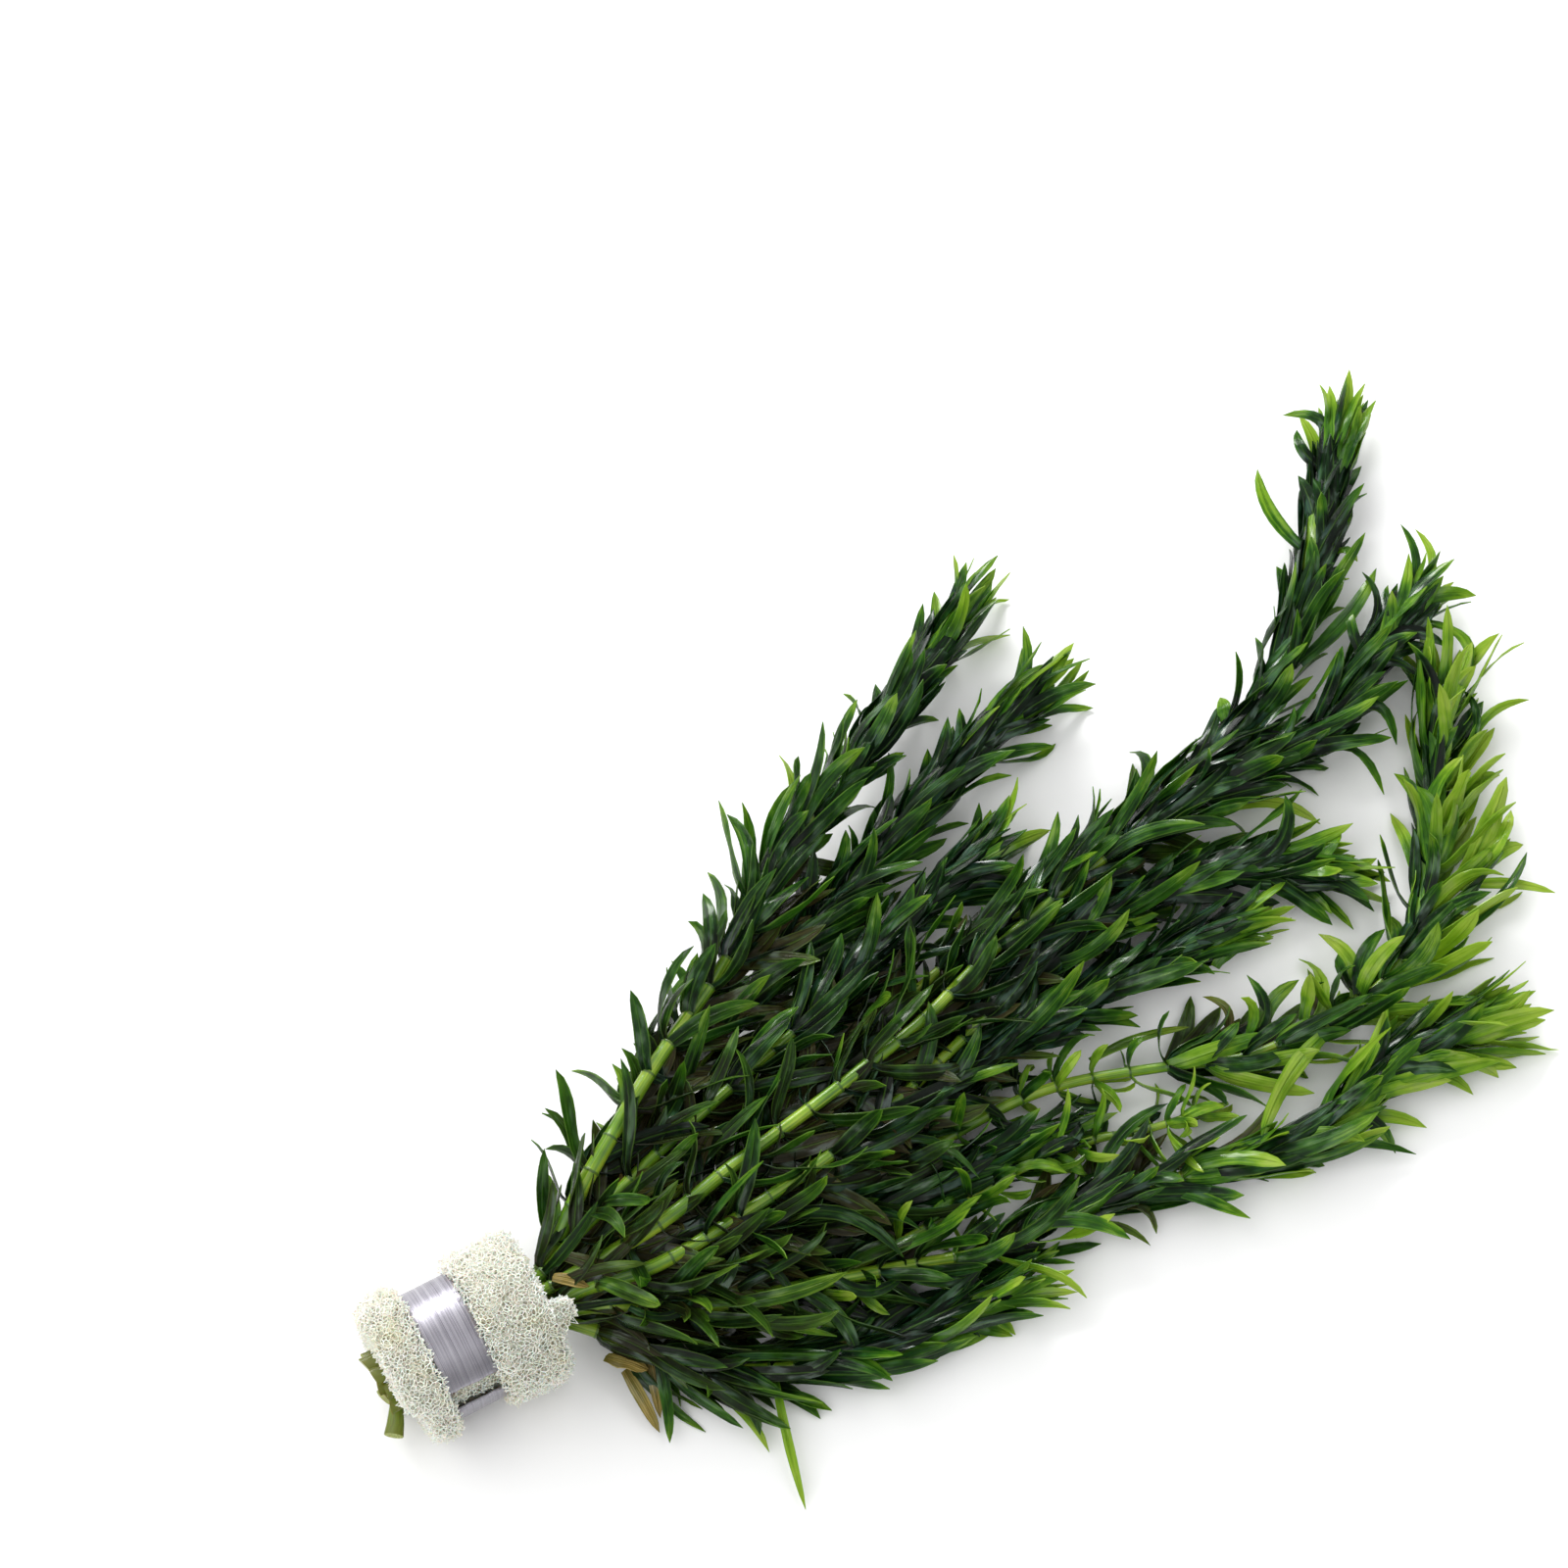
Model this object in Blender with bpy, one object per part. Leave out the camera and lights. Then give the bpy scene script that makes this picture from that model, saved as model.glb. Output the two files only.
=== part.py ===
"""A bunch of brazilian waterweed: twelve leafy stems, held at their cut ends in a rolled sponge
strip with a lead strip bent round it. The bunch lies on a surface, and its stems fan out along +X.

Lengths are in metres, +Z is up, and the origin is under the middle of the bunch's box.
The sponge, the strip and the stems are made in the roll's own frame, which is moved there last:
its X axis runs under the roll's axis towards the leaves, from the middle of the lead strip,
and Y is to the left. Angles round the roll start at its right side and grow over the top.
"""

import bisect
import math
import random

import bmesh
import bpy
from mathutils import Matrix, Vector, noise
from mathutils.bvhtree import BVHTree

MM = 0.001
GAP = 0.3 * MM

# The rolled sponge: it sags flat below, because its axis is lower than its collars are thick
ROLL_HEIGHT = 15.0 * MM
BORE_RADIUS = 6.85 * MM
PINCHED_RADIUS = 12.65 * MM
CUT_COLLAR = {"end": -14.4 * MM, "radius": 16.4 * MM}
MOUTH_COLLAR = {"end": 20.0 * MM, "radius": 16.2 * MM}
COLLAR_ROUNDING = 3.4 * MM
PINCH_ROUNDING = 1.8 * MM
BORE_ROUNDING = 1.6 * MM
ROUNDING_STEPS = 2
SPONGE_SIDES = 28
LUMP_HEIGHT = 0.7 * MM
LUMP_LENGTH = 6.0 * MM
SEAM_ANGLE = 205.0
SEAM_WIDTH = 7.0
SEAM_DEPTH = 2.2 * MM

# The strip's inner end, which stands out of the mouth as a small tab
TAB_ANGLE = 32.0
TAB_SPREAD = 16.0
TAB_LENGTH = 5.0 * MM
TAB_TAPER = 0.7

# The lead strip
STRIP_WIDTH = 11.0 * MM
STRIP_THICK = 0.9 * MM
STRIP_FIRST_END = 34.0
STRIP_LAST_END = 378.0
STRIP_PROUD = 1.2 * MM
STRIP_PROUD_FROM = 335.0
STRIP_STEPS = 26

# The stems
STEM_RADIUS = 1.42 * MM
STEM_TIP_RADIUS = 0.9 * MM
STEM_SIDES = 6
NODE_LENGTH = 0.9 * MM
FIRST_WHORL = 8.0 * MM
WHORL_STEP = 15.5 * MM
WHORL_CROWDING = 1.3
TIP_LENGTH = 7.0 * MM
TIP_TAPER = 0.2
HELD_FROM_MOUTH = 7.0 * MM
FREE_FROM_MOUTH = 1.0 * MM

# The leaf blades
LEAF_LENGTH = 23.0 * MM
LEAF_WIDTH = 4.2 * MM
LEAF_THICK = 0.8 * MM
LEAF_WIDEST = 0.45
LEAF_TAPER = 0.05
LEAF_SIZES = (0.85, 1.12)
LEAF_TIP_SHRINK = 0.22
LOW_LEAF_OPENING = 62.0
TIP_LEAF_OPENING = 30.0
LEAF_OPENING_SPREAD = 6.0
LEAF_CURVE = 26.0
LEAF_SWING = 12.0

# How a leaf gives way to its neighbours: the gap it keeps, the room it leaves at the sponge's
# mouth, and the sizes, swings and turns that are tried in order
LEAF_CLEARANCE = 0.35 * MM
MOUTH_CLEARANCE = 2.0 * MM
TRIED_SIZES = (1.0, 0.8, 0.6)
TRIED_SWINGS = (28.0, -28.0, 45.0, -45.0)
TRIED_TURNS = (0.0, -14.0, -26.0, 12.0)
LEAST_OPENING = 16.0
FREE_OF_STEM = 0.45
FREE_OF_WHORL = 0.3
NEIGHBOUR_REACH = 1.3

# The finishes: colour, roughness and metallic value
SPONGE_FINISH = ((0.80, 0.79, 0.62), 0.95, 0.0)
LEAD_FINISH = ((0.42, 0.42, 0.45), 0.35, 1.0)
PLANT_FINISH = ((0.09, 0.26, 0.04), 0.4, 0.0)
SMOOTH_ANGLE = 32.0

# Where each stem sits in the sponge: distance from the roll's axis, and angle round it
OUTER_SLOT = 5.05 * MM
INNER_SLOT = 1.85 * MM

# Each stem: its slot, how far its cut end stands out, and its route from the sponge's mouth to
# its tip as (along, left, up) in millimetres of the roll's frame
STEMS = {
    "stem_01": (OUTER_SLOT, 170, 2.0, [(40, 16, 25), (63, 31, 25), (83, 43, 22), (110, 62, 18),
                                       (132, 75, 14), (155, 88, 11), (176, 100, 9)]),
    "stem_02": (OUTER_SLOT, 210, 1.0, [(38, 11, 13), (58, 22, 14), (81, 35, 14), (99, 43, 13),
                                       (116, 50, 12), (138, 60, 10), (157, 68, 9), (180, 74, 8)]),
    "stem_03": (OUTER_SLOT, 130, 3.0, [(36, 8, 22), (54, 14, 23), (73, 20, 21), (96, 27, 18),
                                       (122, 37, 14), (140, 43, 11), (153, 46, 10)]),
    "stem_04": (INNER_SLOT, 150, 1.5, [(38, 4, 17), (57, 7, 17), (96, 16, 14), (128, 26, 12),
                                       (154, 31, 11), (180, 36, 10), (199, 41, 9), (214, 46, 9),
                                       (228, 54, 8), (246, 70, 8), (272, 99, 8)]),
    "stem_05": (OUTER_SLOT, 90, 2.5, [(34, 0, 22), (48, 0, 25), (66, 4, 24), (91, 9, 22),
                                      (117, 15, 20), (136, 22, 17), (176, 32, 14), (203, 35, 11),
                                      (227, 37, 9), (238, 42, 8), (249, 48, 8), (263, 53, 9)]),
    "stem_06": (OUTER_SLOT, 50, 4.0, [(28, -3.6, 20), (44, -7, 23), (73, -4, 21), (90, -1, 19),
                                      (105, 3, 17), (142, 15, 13), (164, 20, 11), (187, 20, 9),
                                      (200, 16, 8), (215, 6, 7)]),
    "stem_07": (INNER_SLOT, 30, 1.0, [(36, -3, 17), (52, -8, 17), (83, -6, 14), (111, 1, 12),
                                      (137, 6, 10), (161, 7, 9), (190, 7, 7)]),
    "stem_08": (INNER_SLOT, 270, 2.0, [(36, -2, 12), (62, -9, 11), (93, -8, 9), (122, -6, 8),
                                       (138, -7, 7), (160, -14, 7), (176, -20, 7), (192, -21, 7),
                                       (207, -20, 7), (220, -15, 7), (231, -5, 7), (238, 5, 7),
                                       (247, 19, 7), (259, 38, 7)]),
    "stem_09": (OUTER_SLOT, 250, 5.0, [(36, -1, 8), (62, -12, 6), (93, -13, 6), (116, -14, 6),
                                       (132, -15.5, 6)]),
    "stem_10": (OUTER_SLOT, 290, 2.0, [(36, -9, 9), (62, -20, 7), (99, -21, 6), (121, -19, 6),
                                       (138, -20.5, 6), (150, -24, 6), (168, -27, 6)]),
    "stem_11": (OUTER_SLOT, 10, 3.0, [(28, -6.2, 16.5), (42, -14, 15), (58, -19, 13), (75, -23, 11),
                                      (93, -28, 9), (107, -32, 8), (132, -33, 7), (148, -36, 7),
                                      (163, -40, 7), (176, -42, 7), (192, -38, 7), (212, -36, 7),
                                      (226, -37, 6)]),
    "stem_12": (OUTER_SLOT, 330, 1.5, [(27, -9, 11), (36, -18, 8), (46, -27, 6.5), (60, -34, 6),
                                       (75, -39, 6), (90, -40, 6), (108, -41, 6)]),
}


def random_for(name):
    """Each piece draws its own repeatable random numbers."""
    return random.Random("waterweed " + name)


def roll_point(along, radius, angle):
    """A point round the roll's axis."""
    turn = math.radians(angle)
    return Vector((along, -radius * math.cos(turn), ROLL_HEIGHT + radius * math.sin(turn)))


def first_face(bm, corners):
    """Starts a piece as one flat face."""
    bmesh.ops.create_circle(bm, cap_ends=True, segments=len(corners), radius=1.0)
    bm.faces.ensure_lookup_table()
    face = bm.faces[0]
    for vert, corner in zip(face.verts, corners):
        vert.co = corner
    return face


def extend(bm, face, corners):
    """Extrudes a face to new corners, which are in the order of the face's own."""
    grown = bmesh.ops.extrude_discrete_faces(bm, faces=[face])["faces"][0]
    for vert, corner in zip(grown.verts, corners):
        vert.co = corner
    return grown


def finish(bm, name, look):
    """Closes the mesh, and makes it a named object with its own material."""
    bmesh.ops.holes_fill(bm, edges=bm.edges[:], sides=0)
    bmesh.ops.recalc_face_normals(bm, faces=bm.faces[:])
    mesh = bpy.data.meshes.new(name)
    bm.to_mesh(mesh)
    bm.free()
    mesh.shade_smooth()
    mesh.set_sharp_from_angle(angle=math.radians(SMOOTH_ANGLE))
    mesh.materials.append(material_of(name, look))
    piece = bpy.data.objects.new(name, mesh)
    BUNCH.objects.link(piece)
    return piece


def material_of(name, look):
    colour, roughness, metallic = look
    material = bpy.data.materials.new(name)
    material.use_nodes = True
    shader = material.node_tree.nodes["Principled BSDF"]
    shader.inputs["Base Color"].default_value = (*colour, 1.0)
    shader.inputs["Roughness"].default_value = roughness
    shader.inputs["Metallic"].default_value = metallic
    material.diffuse_color = (*colour, 1.0)
    return material


def sponge_outline():
    """The sponge's section beside the roll's axis: pinched under the strip, with a round collar on
    each side. Each corner is (along, radius) and the size of its rounding."""
    cut, mouth = CUT_COLLAR["end"], MOUTH_COLLAR["end"]
    pinch = STRIP_WIDTH / 2 + GAP
    return rounded([
        (cut, BORE_RADIUS, BORE_ROUNDING),
        (cut, CUT_COLLAR["radius"], COLLAR_ROUNDING),
        (-pinch, CUT_COLLAR["radius"], PINCH_ROUNDING),
        (-pinch, PINCHED_RADIUS, 0),
        (pinch, PINCHED_RADIUS, 0),
        (pinch, MOUTH_COLLAR["radius"], PINCH_ROUNDING),
        (mouth, MOUTH_COLLAR["radius"], COLLAR_ROUNDING),
        (mouth, BORE_RADIUS, BORE_ROUNDING),
    ])


def rounded(corners):
    """An outline's corners, each drawn as a short curve where it has a rounding."""
    outline = []
    for i, (along, radius, rounding) in enumerate(corners):
        here, before = Vector((along, radius)), Vector(corners[i - 1][:2])
        after = Vector(corners[(i + 1) % len(corners)][:2])
        start = here + (before - here).normalized() * rounding
        end = here + (after - here).normalized() * rounding
        steps = ROUNDING_STEPS if rounding else 0
        for k in range(steps + 1):
            share = k / max(steps, 1)
            outline.append(start.lerp(here, share).lerp(here.lerp(end, share), share))
    return outline


def make_sponge():
    """Spins the section round the roll's axis, then roughens it and lets it sag flat below."""
    bm = bmesh.new()
    verts = [bm.verts.new(roll_point(along, radius, 90)) for along, radius in sponge_outline()]
    for i, vert in enumerate(verts):
        bm.edges.new((vert, verts[(i + 1) % len(verts)]))
    bmesh.ops.spin(bm, geom=bm.verts[:] + bm.edges[:], cent=(0, 0, ROLL_HEIGHT), axis=(1, 0, 0),
                   dvec=(0, 0, 0), angle=math.tau, steps=SPONGE_SIDES, use_merge=True)
    pull_out_tab(bm)
    for vert in bm.verts:
        along, radius, angle = roll_place(vert.co)
        if radius > PINCHED_RADIUS + GAP:
            seam = math.exp(-((angle - SEAM_ANGLE) / SEAM_WIDTH) ** 2)
            radius += LUMP_HEIGHT * noise.noise(vert.co / LUMP_LENGTH) - SEAM_DEPTH * seam
            vert.co = roll_point(along, radius, angle)
        vert.co.z = max(vert.co.z, 0.0)
    return finish(bm, "sponge_wrap", SPONGE_FINISH)


def roll_place(point):
    """A point's place along and round the roll's axis."""
    up = point.z - ROLL_HEIGHT
    return point.x, math.hypot(point.y, up), math.degrees(math.atan2(up, -point.y)) % 360


def pull_out_tab(bm):
    """Extrudes a few faces of the mouth's end, away from its rounded edges."""
    inner = BORE_RADIUS + BORE_ROUNDING / 2
    outer = MOUTH_COLLAR["radius"] - COLLAR_ROUNDING / 2
    faces = []
    for face in bm.faces:
        along, radius, angle = roll_place(face.calc_center_median())
        at_mouth = along > MOUTH_COLLAR["end"] - GAP and inner < radius < outer
        if at_mouth and abs(angle - TAB_ANGLE) < TAB_SPREAD:
            faces.append(face)
    grown = bmesh.ops.extrude_face_region(bm, geom=faces)["geom"]
    verts = [part for part in grown if isinstance(part, bmesh.types.BMVert)]
    bmesh.ops.delete(bm, geom=faces, context="FACES")
    middle = roll_point(0, (inner + outer) / 2, TAB_ANGLE)
    for vert in verts:
        vert.co.x += TAB_LENGTH
        vert.co.yz = middle.yz + (vert.co.yz - middle.yz) * TAB_TAPER


def make_strip():
    """A flat lead strip bent round the sponge, open at the near side, with its last end proud."""
    inner = PINCHED_RADIUS + GAP
    bm = bmesh.new()
    face = None
    for step in range(STRIP_STEPS + 1):
        angle = STRIP_FIRST_END + (STRIP_LAST_END - STRIP_FIRST_END) * step / STRIP_STEPS
        lift = max(0.0, angle - STRIP_PROUD_FROM) / (STRIP_LAST_END - STRIP_PROUD_FROM)
        low = inner + STRIP_PROUD * lift ** 2
        half = STRIP_WIDTH / 2
        corners = [
            roll_point(-half, low, angle),
            roll_point(half, low, angle),
            roll_point(half, low + STRIP_THICK, angle),
            roll_point(-half, low + STRIP_THICK, angle),
        ]
        face = extend(bm, face, corners) if face else first_face(bm, corners)
    return finish(bm, "lead_strip", LEAD_FINISH)


def smooth_route(points, samples=24):
    """A smooth line through the points, as a close chain of short straight runs."""
    padded = [points[0] * 2 - points[1]] + points + [points[-1] * 2 - points[-2]]
    line = []
    for before, start, end, after in zip(padded, padded[1:], padded[2:], padded[3:]):
        for i in range(samples):
            line.append(spline_point(before, start, end, after, i / samples))
    return line + [points[-1]]


def spline_point(before, start, end, after, t):
    """A point on a centripetal Catmull-Rom segment."""
    t0 = 0.0
    t1 = t0 + math.sqrt((start - before).length)
    t2 = t1 + math.sqrt((end - start).length)
    t3 = t2 + math.sqrt((after - end).length)
    t = t1 + (t2 - t1) * t
    a = before.lerp(start, (t - t0) / (t1 - t0))
    b = start.lerp(end, (t - t1) / (t2 - t1))
    c = end.lerp(after, (t - t2) / (t3 - t2))
    return a.lerp(b, (t - t0) / (t2 - t0)).lerp(b.lerp(c, (t - t1) / (t3 - t1)), (t - t1) / (t2 - t1))


class Route:
    """A stem's centre line, read by the length from its cut end."""

    def __init__(self, name):
        radius, angle, stand_out, points = STEMS[name]
        cut_end = CUT_COLLAR["end"] - stand_out * MM
        mouth = MOUTH_COLLAR["end"]
        held = [roll_point(along, radius, angle)
                for along in (cut_end, mouth - HELD_FROM_MOUTH, mouth + FREE_FROM_MOUTH)]
        self.mouth = held[-1].x - held[0].x
        self.line = smooth_route(held + [Vector(point) * MM for point in points])
        self.marks = [0.0]
        for start, end in zip(self.line, self.line[1:]):
            self.marks.append(self.marks[-1] + (end - start).length)
        self.length = self.marks[-1]

    def at(self, mark):
        i = min(max(bisect.bisect(self.marks, mark) - 1, 0), len(self.line) - 2)
        share = (mark - self.marks[i]) / (self.marks[i + 1] - self.marks[i])
        return self.line[i].lerp(self.line[i + 1], share)

    def frame(self, mark):
        """The place at a mark, with the directions forward, left and up."""
        forward = (self.at(mark + MM) - self.at(mark - MM)).normalized()
        left = Vector((0, 0, 1)).cross(forward).normalized()
        return self.at(mark), forward, left, forward.cross(left)


def whorl_marks(route):
    """Where the whorls grow: further apart low on the stem, and crowded at its tip."""
    first, last = route.mouth + FIRST_WHORL, route.length - TIP_LENGTH
    count = round((last - first) / WHORL_STEP)
    return [first + (last - first) * (1 - (1 - k / count) ** WHORL_CROWDING) for k in range(count + 1)]


def ring(route, mark):
    """A ring of corners round the stem."""
    share = max(0.0, mark - route.mouth) / (route.length - route.mouth)
    radius = STEM_RADIUS + (STEM_TIP_RADIUS - STEM_RADIUS) * share
    place, _, left, up = route.frame(mark)
    turns = [math.tau * k / STEM_SIDES for k in range(STEM_SIDES)]
    return [place + (left * math.cos(turn) + up * math.sin(turn)) * radius for turn in turns]


def turned(first, second, angle):
    """Two square directions, both turned by an angle from the first towards the second."""
    turn = math.radians(angle)
    return (first * math.cos(turn) + second * math.sin(turn),
            second * math.cos(turn) - first * math.sin(turn))


class Blade:
    """One leaf: it grows from a side of the stem, opens outwards and curves forward to its tip.
    Its foot is the place and the half width where it meets the stem."""

    def __init__(self, foot, directions, opening, swing, length):
        forward, out, across = directions
        out, across = turned(out, across, swing)
        curve = LEAF_CURVE * LEAF_WIDEST
        self.foot = foot
        self.middle = foot[0] + turned(forward, out, opening + LEAF_CURVE - curve)[0] * length * LEAF_WIDEST
        self.tip = self.middle + turned(forward, out, opening - curve)[0] * length * (1 - LEAF_WIDEST)
        self.across = across
        self.upper = across.cross(turned(forward, out, opening)[0]).normalized()
        if self.upper.dot(forward) < 0:
            self.upper.negate()
        self.width = LEAF_WIDTH * length / LEAF_LENGTH
        low = self.middle.z - LEAF_THICK - abs(self.across.z) * self.width / 2
        self.middle.z -= min(low, 0.0)
        self.tip.z = max(self.tip.z, 0.0)

    def section(self, corners, spare=0.0):
        """Where the blade is widest, in the order of the foot's corners."""
        wide, thick = self.across * (self.width / 2 + spare), self.upper * (LEAF_THICK / 2 + spare)
        return [self.middle + wide * side + thick * face for side, face in corners]

    def solid(self, start, spare):
        """The blade from a share of its lower half on, with something to spare all round."""
        corners = [(-1, -1), (1, -1), (1, 1), (-1, 1)]
        middle = self.section(corners, spare)
        place, half = self.foot
        foot = [place + self.across * side * half + self.upper * face * LEAF_THICK / 2
                for side, face in corners]
        low = [a.lerp(b, start) for a, b in zip(foot, middle)]
        tip = self.tip + (self.tip - self.middle).normalized() * spare
        sides = [(i, (i + 1) % 4, 4 + (i + 1) % 4, 4 + i) for i in range(4)]
        ends = [(4 + i, 4 + (i + 1) % 4, 8) for i in range(4)]
        return BVHTree.FromPolygons(low + middle + [tip], sides + ends + [(3, 2, 1, 0)])


def stem_solid(route, marks, spare):
    """The bare stem as a chain of rings, with something to spare all round."""
    points, faces = [], []
    for i, mark in enumerate(marks):
        place = route.at(mark)
        points += [place + (corner - place) * (1 + spare / STEM_TIP_RADIUS) for corner in ring(route, mark)]
        for k in range(STEM_SIDES if i else 0):
            a, b = (i - 1) * STEM_SIDES + k, (i - 1) * STEM_SIDES + (k + 1) % STEM_SIDES
            faces.append((a, b, b + STEM_SIDES, a + STEM_SIDES))
    return BVHTree.FromPolygons(points, faces)


def ring_marks(route, whorls):
    """Every ring of a stem, from its cut end up: two at each whorl, with the node between them."""
    marks = [0.0, route.mouth - HELD_FROM_MOUTH, route.mouth]
    for whorl in whorls:
        marks += [whorl, whorl + NODE_LENGTH]
    return marks


def leaf_directions(route, mark, side):
    """For one side of the stem: its middle there, and the directions forward, out and across."""
    place, forward, left, up = route.frame(mark + NODE_LENGTH / 2)
    out, across = turned(left, up, 360 * (side + 0.5) / STEM_SIDES)
    radius = (ring(route, mark)[0] - route.at(mark)).length
    foot = place + out * radius * math.cos(math.pi / STEM_SIDES)
    return (foot, radius * math.sin(math.pi / STEM_SIDES)), (forward, out, across)


def tries(draw, share):
    """The ways a leaf may lie, the most natural first."""
    opening = LOW_LEAF_OPENING + (TIP_LEAF_OPENING - LOW_LEAF_OPENING) * share
    opening += draw.uniform(-LEAF_OPENING_SPREAD, LEAF_OPENING_SPREAD)
    length = LEAF_LENGTH * draw.uniform(*LEAF_SIZES) * (1.0 - LEAF_TIP_SHRINK * share ** 4)
    swings = [draw.uniform(-LEAF_SWING, LEAF_SWING), *TRIED_SWINGS]
    for size in TRIED_SIZES:
        for swing in swings:
            for turn in TRIED_TURNS:
                yield max(opening + turn, LEAST_OPENING), swing, length * size


def grow_leaves(routes, whorls):
    """Finds a place for every leaf that fits between the stems and the leaves already grown."""
    bare = {name: stem_solid(route, ring_marks(route, whorls[name]) + [route.length], LEAF_CLEARANCE)
            for name, route in routes.items()}
    grown = {name: {} for name in routes}
    solids = []
    for level in range(max(len(marks) for marks in whorls.values())):
        for name, route in routes.items():
            if level >= len(whorls[name]):
                continue
            draw = random_for(f"{name} {level}")
            mark = whorls[name][-1 - level]
            for side in range(level % 2, STEM_SIDES, 2):
                foot, directions = leaf_directions(route, mark, side)
                share = (mark - route.mouth) / (route.length - route.mouth)
                for opening, swing, length in tries(draw, share):
                    blade = Blade(foot, directions, opening, swing, length)
                    if fits(name, blade, bare, solids):
                        grown[name][mark, side] = blade
                        solids.append((name, blade, blade.solid(0, 0), blade.solid(FREE_OF_WHORL, 0)))
                        break
    return grown


def fits(name, blade, bare, solids):
    """Whether a blade stays clear of the sponge, the other stems and every leaf."""
    if min(blade.middle.x, blade.tip.x) < MOUTH_COLLAR["end"] + TAB_LENGTH + MOUTH_CLEARANCE:
        return False
    whole, outer = blade.solid(0, LEAF_CLEARANCE), blade.solid(FREE_OF_WHORL, LEAF_CLEARANCE)
    if any(whole.overlap(tree) for other, tree in bare.items() if other != name):
        return False
    if blade.solid(FREE_OF_STEM, 0).overlap(bare[name]):
        return False
    for other, neighbour, other_whole, other_outer in solids:
        if (neighbour.middle - blade.middle).length > LEAF_LENGTH * NEIGHBOUR_REACH:
            continue
        if outer.overlap(other_outer) if other == name else whole.overlap(other_whole):
            return False
    return True


def make_stem(name, route, whorls, leaves):
    """Extrudes a stem ring by ring, and each leaf out of a side of its node."""
    bm = bmesh.new()
    face = first_face(bm, ring(route, 0.0))
    for mark in ring_marks(route, whorls)[1:]:
        lower = list(face.verts)
        face = extend(bm, face, ring(route, mark))
        whorl = mark - NODE_LENGTH
        for side in range(STEM_SIDES):
            blade = next((b for (m, s), b in leaves.items() if abs(m - whorl) < 1e-9 and s == side), None)
            if blade:
                make_blade(bm, face, side, blade)
    tip = route.at(route.length)
    face = extend(bm, face, [tip.lerp(corner, TIP_TAPER) for corner in ring(route, route.length)])
    bmesh.ops.pointmerge(bm, verts=face.verts[:], merge_co=tip)
    return finish(bm, name, PLANT_FINISH)


def make_blade(bm, cap, side, blade):
    """Extrudes the side face below the cap to the blade's widest place, then to its tip."""
    first, second = cap.verts[side], cap.verts[(side + 1) % STEM_SIDES]
    edge = bm.edges.get((first, second))
    face = next(f for f in edge.link_faces if f is not cap)
    corners = []
    for vert in face.verts:
        upper = 1 if vert in (first, second) else -1
        middle = (first.co + second.co) / 2
        corners.append((1 if (vert.co - middle).dot(blade.across) > 0 else -1, upper))
    face = extend(bm, face, blade.section(corners))
    face = extend(bm, face, [blade.tip.lerp(vert.co, LEAF_TAPER) for vert in face.verts])
    bmesh.ops.pointmerge(bm, verts=face.verts[:], merge_co=blade.tip)


def to_box_middle(pieces):
    """Moves the bunch so that its origin is under the middle of its box."""
    corners = [vert.co for piece in pieces for vert in piece.data.vertices]
    low = Vector(min(co[axis] for co in corners) for axis in range(3))
    high = Vector(max(co[axis] for co in corners) for axis in range(3))
    middle = (low + high) / 2
    for piece in pieces:
        piece.data.transform(Matrix.Translation((-middle.x, -middle.y, -low.z)))


for old in list(bpy.data.objects):
    bpy.data.objects.remove(old)
BUNCH = bpy.data.collections.new("brazilian_waterweed_bunch")
bpy.context.scene.collection.children.link(BUNCH)

routes = {name: Route(name) for name in STEMS}
whorls = {name: whorl_marks(route) for name, route in routes.items()}
leaves = grow_leaves(routes, whorls)
pieces = [make_sponge(), make_strip()]
pieces += [make_stem(name, routes[name], whorls[name], leaves[name]) for name in STEMS]
to_box_middle(pieces)
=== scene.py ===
"""The looks of a bunch of brazilian waterweed, over the part's own solids: twelve leafy stems, the
rolled sponge that holds their cut ends, and the lead strip bent round it.

Lengths are in metres. As in the part's source, each piece is made in the roll's own frame: X runs
under the roll's axis towards the leaves, from the middle of the lead strip, and Y is to the left.
Angles round the roll start at its right side and grow over the top.
"""

import bisect
import random
from collections import namedtuple
from math import atan2, cos, degrees, exp, hypot, radians, sin, sqrt, tau

import bmesh
import bpy
from bmesh import ops
from mathutils import Matrix, Vector, kdtree, noise


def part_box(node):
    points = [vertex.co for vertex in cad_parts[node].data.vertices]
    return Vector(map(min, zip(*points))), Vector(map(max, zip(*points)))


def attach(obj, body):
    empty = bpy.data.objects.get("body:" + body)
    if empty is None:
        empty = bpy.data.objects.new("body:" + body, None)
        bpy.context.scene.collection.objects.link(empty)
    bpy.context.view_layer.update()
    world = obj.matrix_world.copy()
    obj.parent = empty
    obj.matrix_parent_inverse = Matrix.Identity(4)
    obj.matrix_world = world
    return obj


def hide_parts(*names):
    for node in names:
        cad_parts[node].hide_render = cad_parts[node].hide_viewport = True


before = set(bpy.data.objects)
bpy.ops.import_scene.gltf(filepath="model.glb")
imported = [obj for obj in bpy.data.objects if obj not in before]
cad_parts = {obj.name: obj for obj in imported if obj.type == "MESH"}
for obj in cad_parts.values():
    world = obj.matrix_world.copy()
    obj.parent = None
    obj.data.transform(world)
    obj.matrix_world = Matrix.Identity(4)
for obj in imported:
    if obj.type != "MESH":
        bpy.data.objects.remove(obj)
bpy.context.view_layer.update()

MM = 0.001

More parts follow.
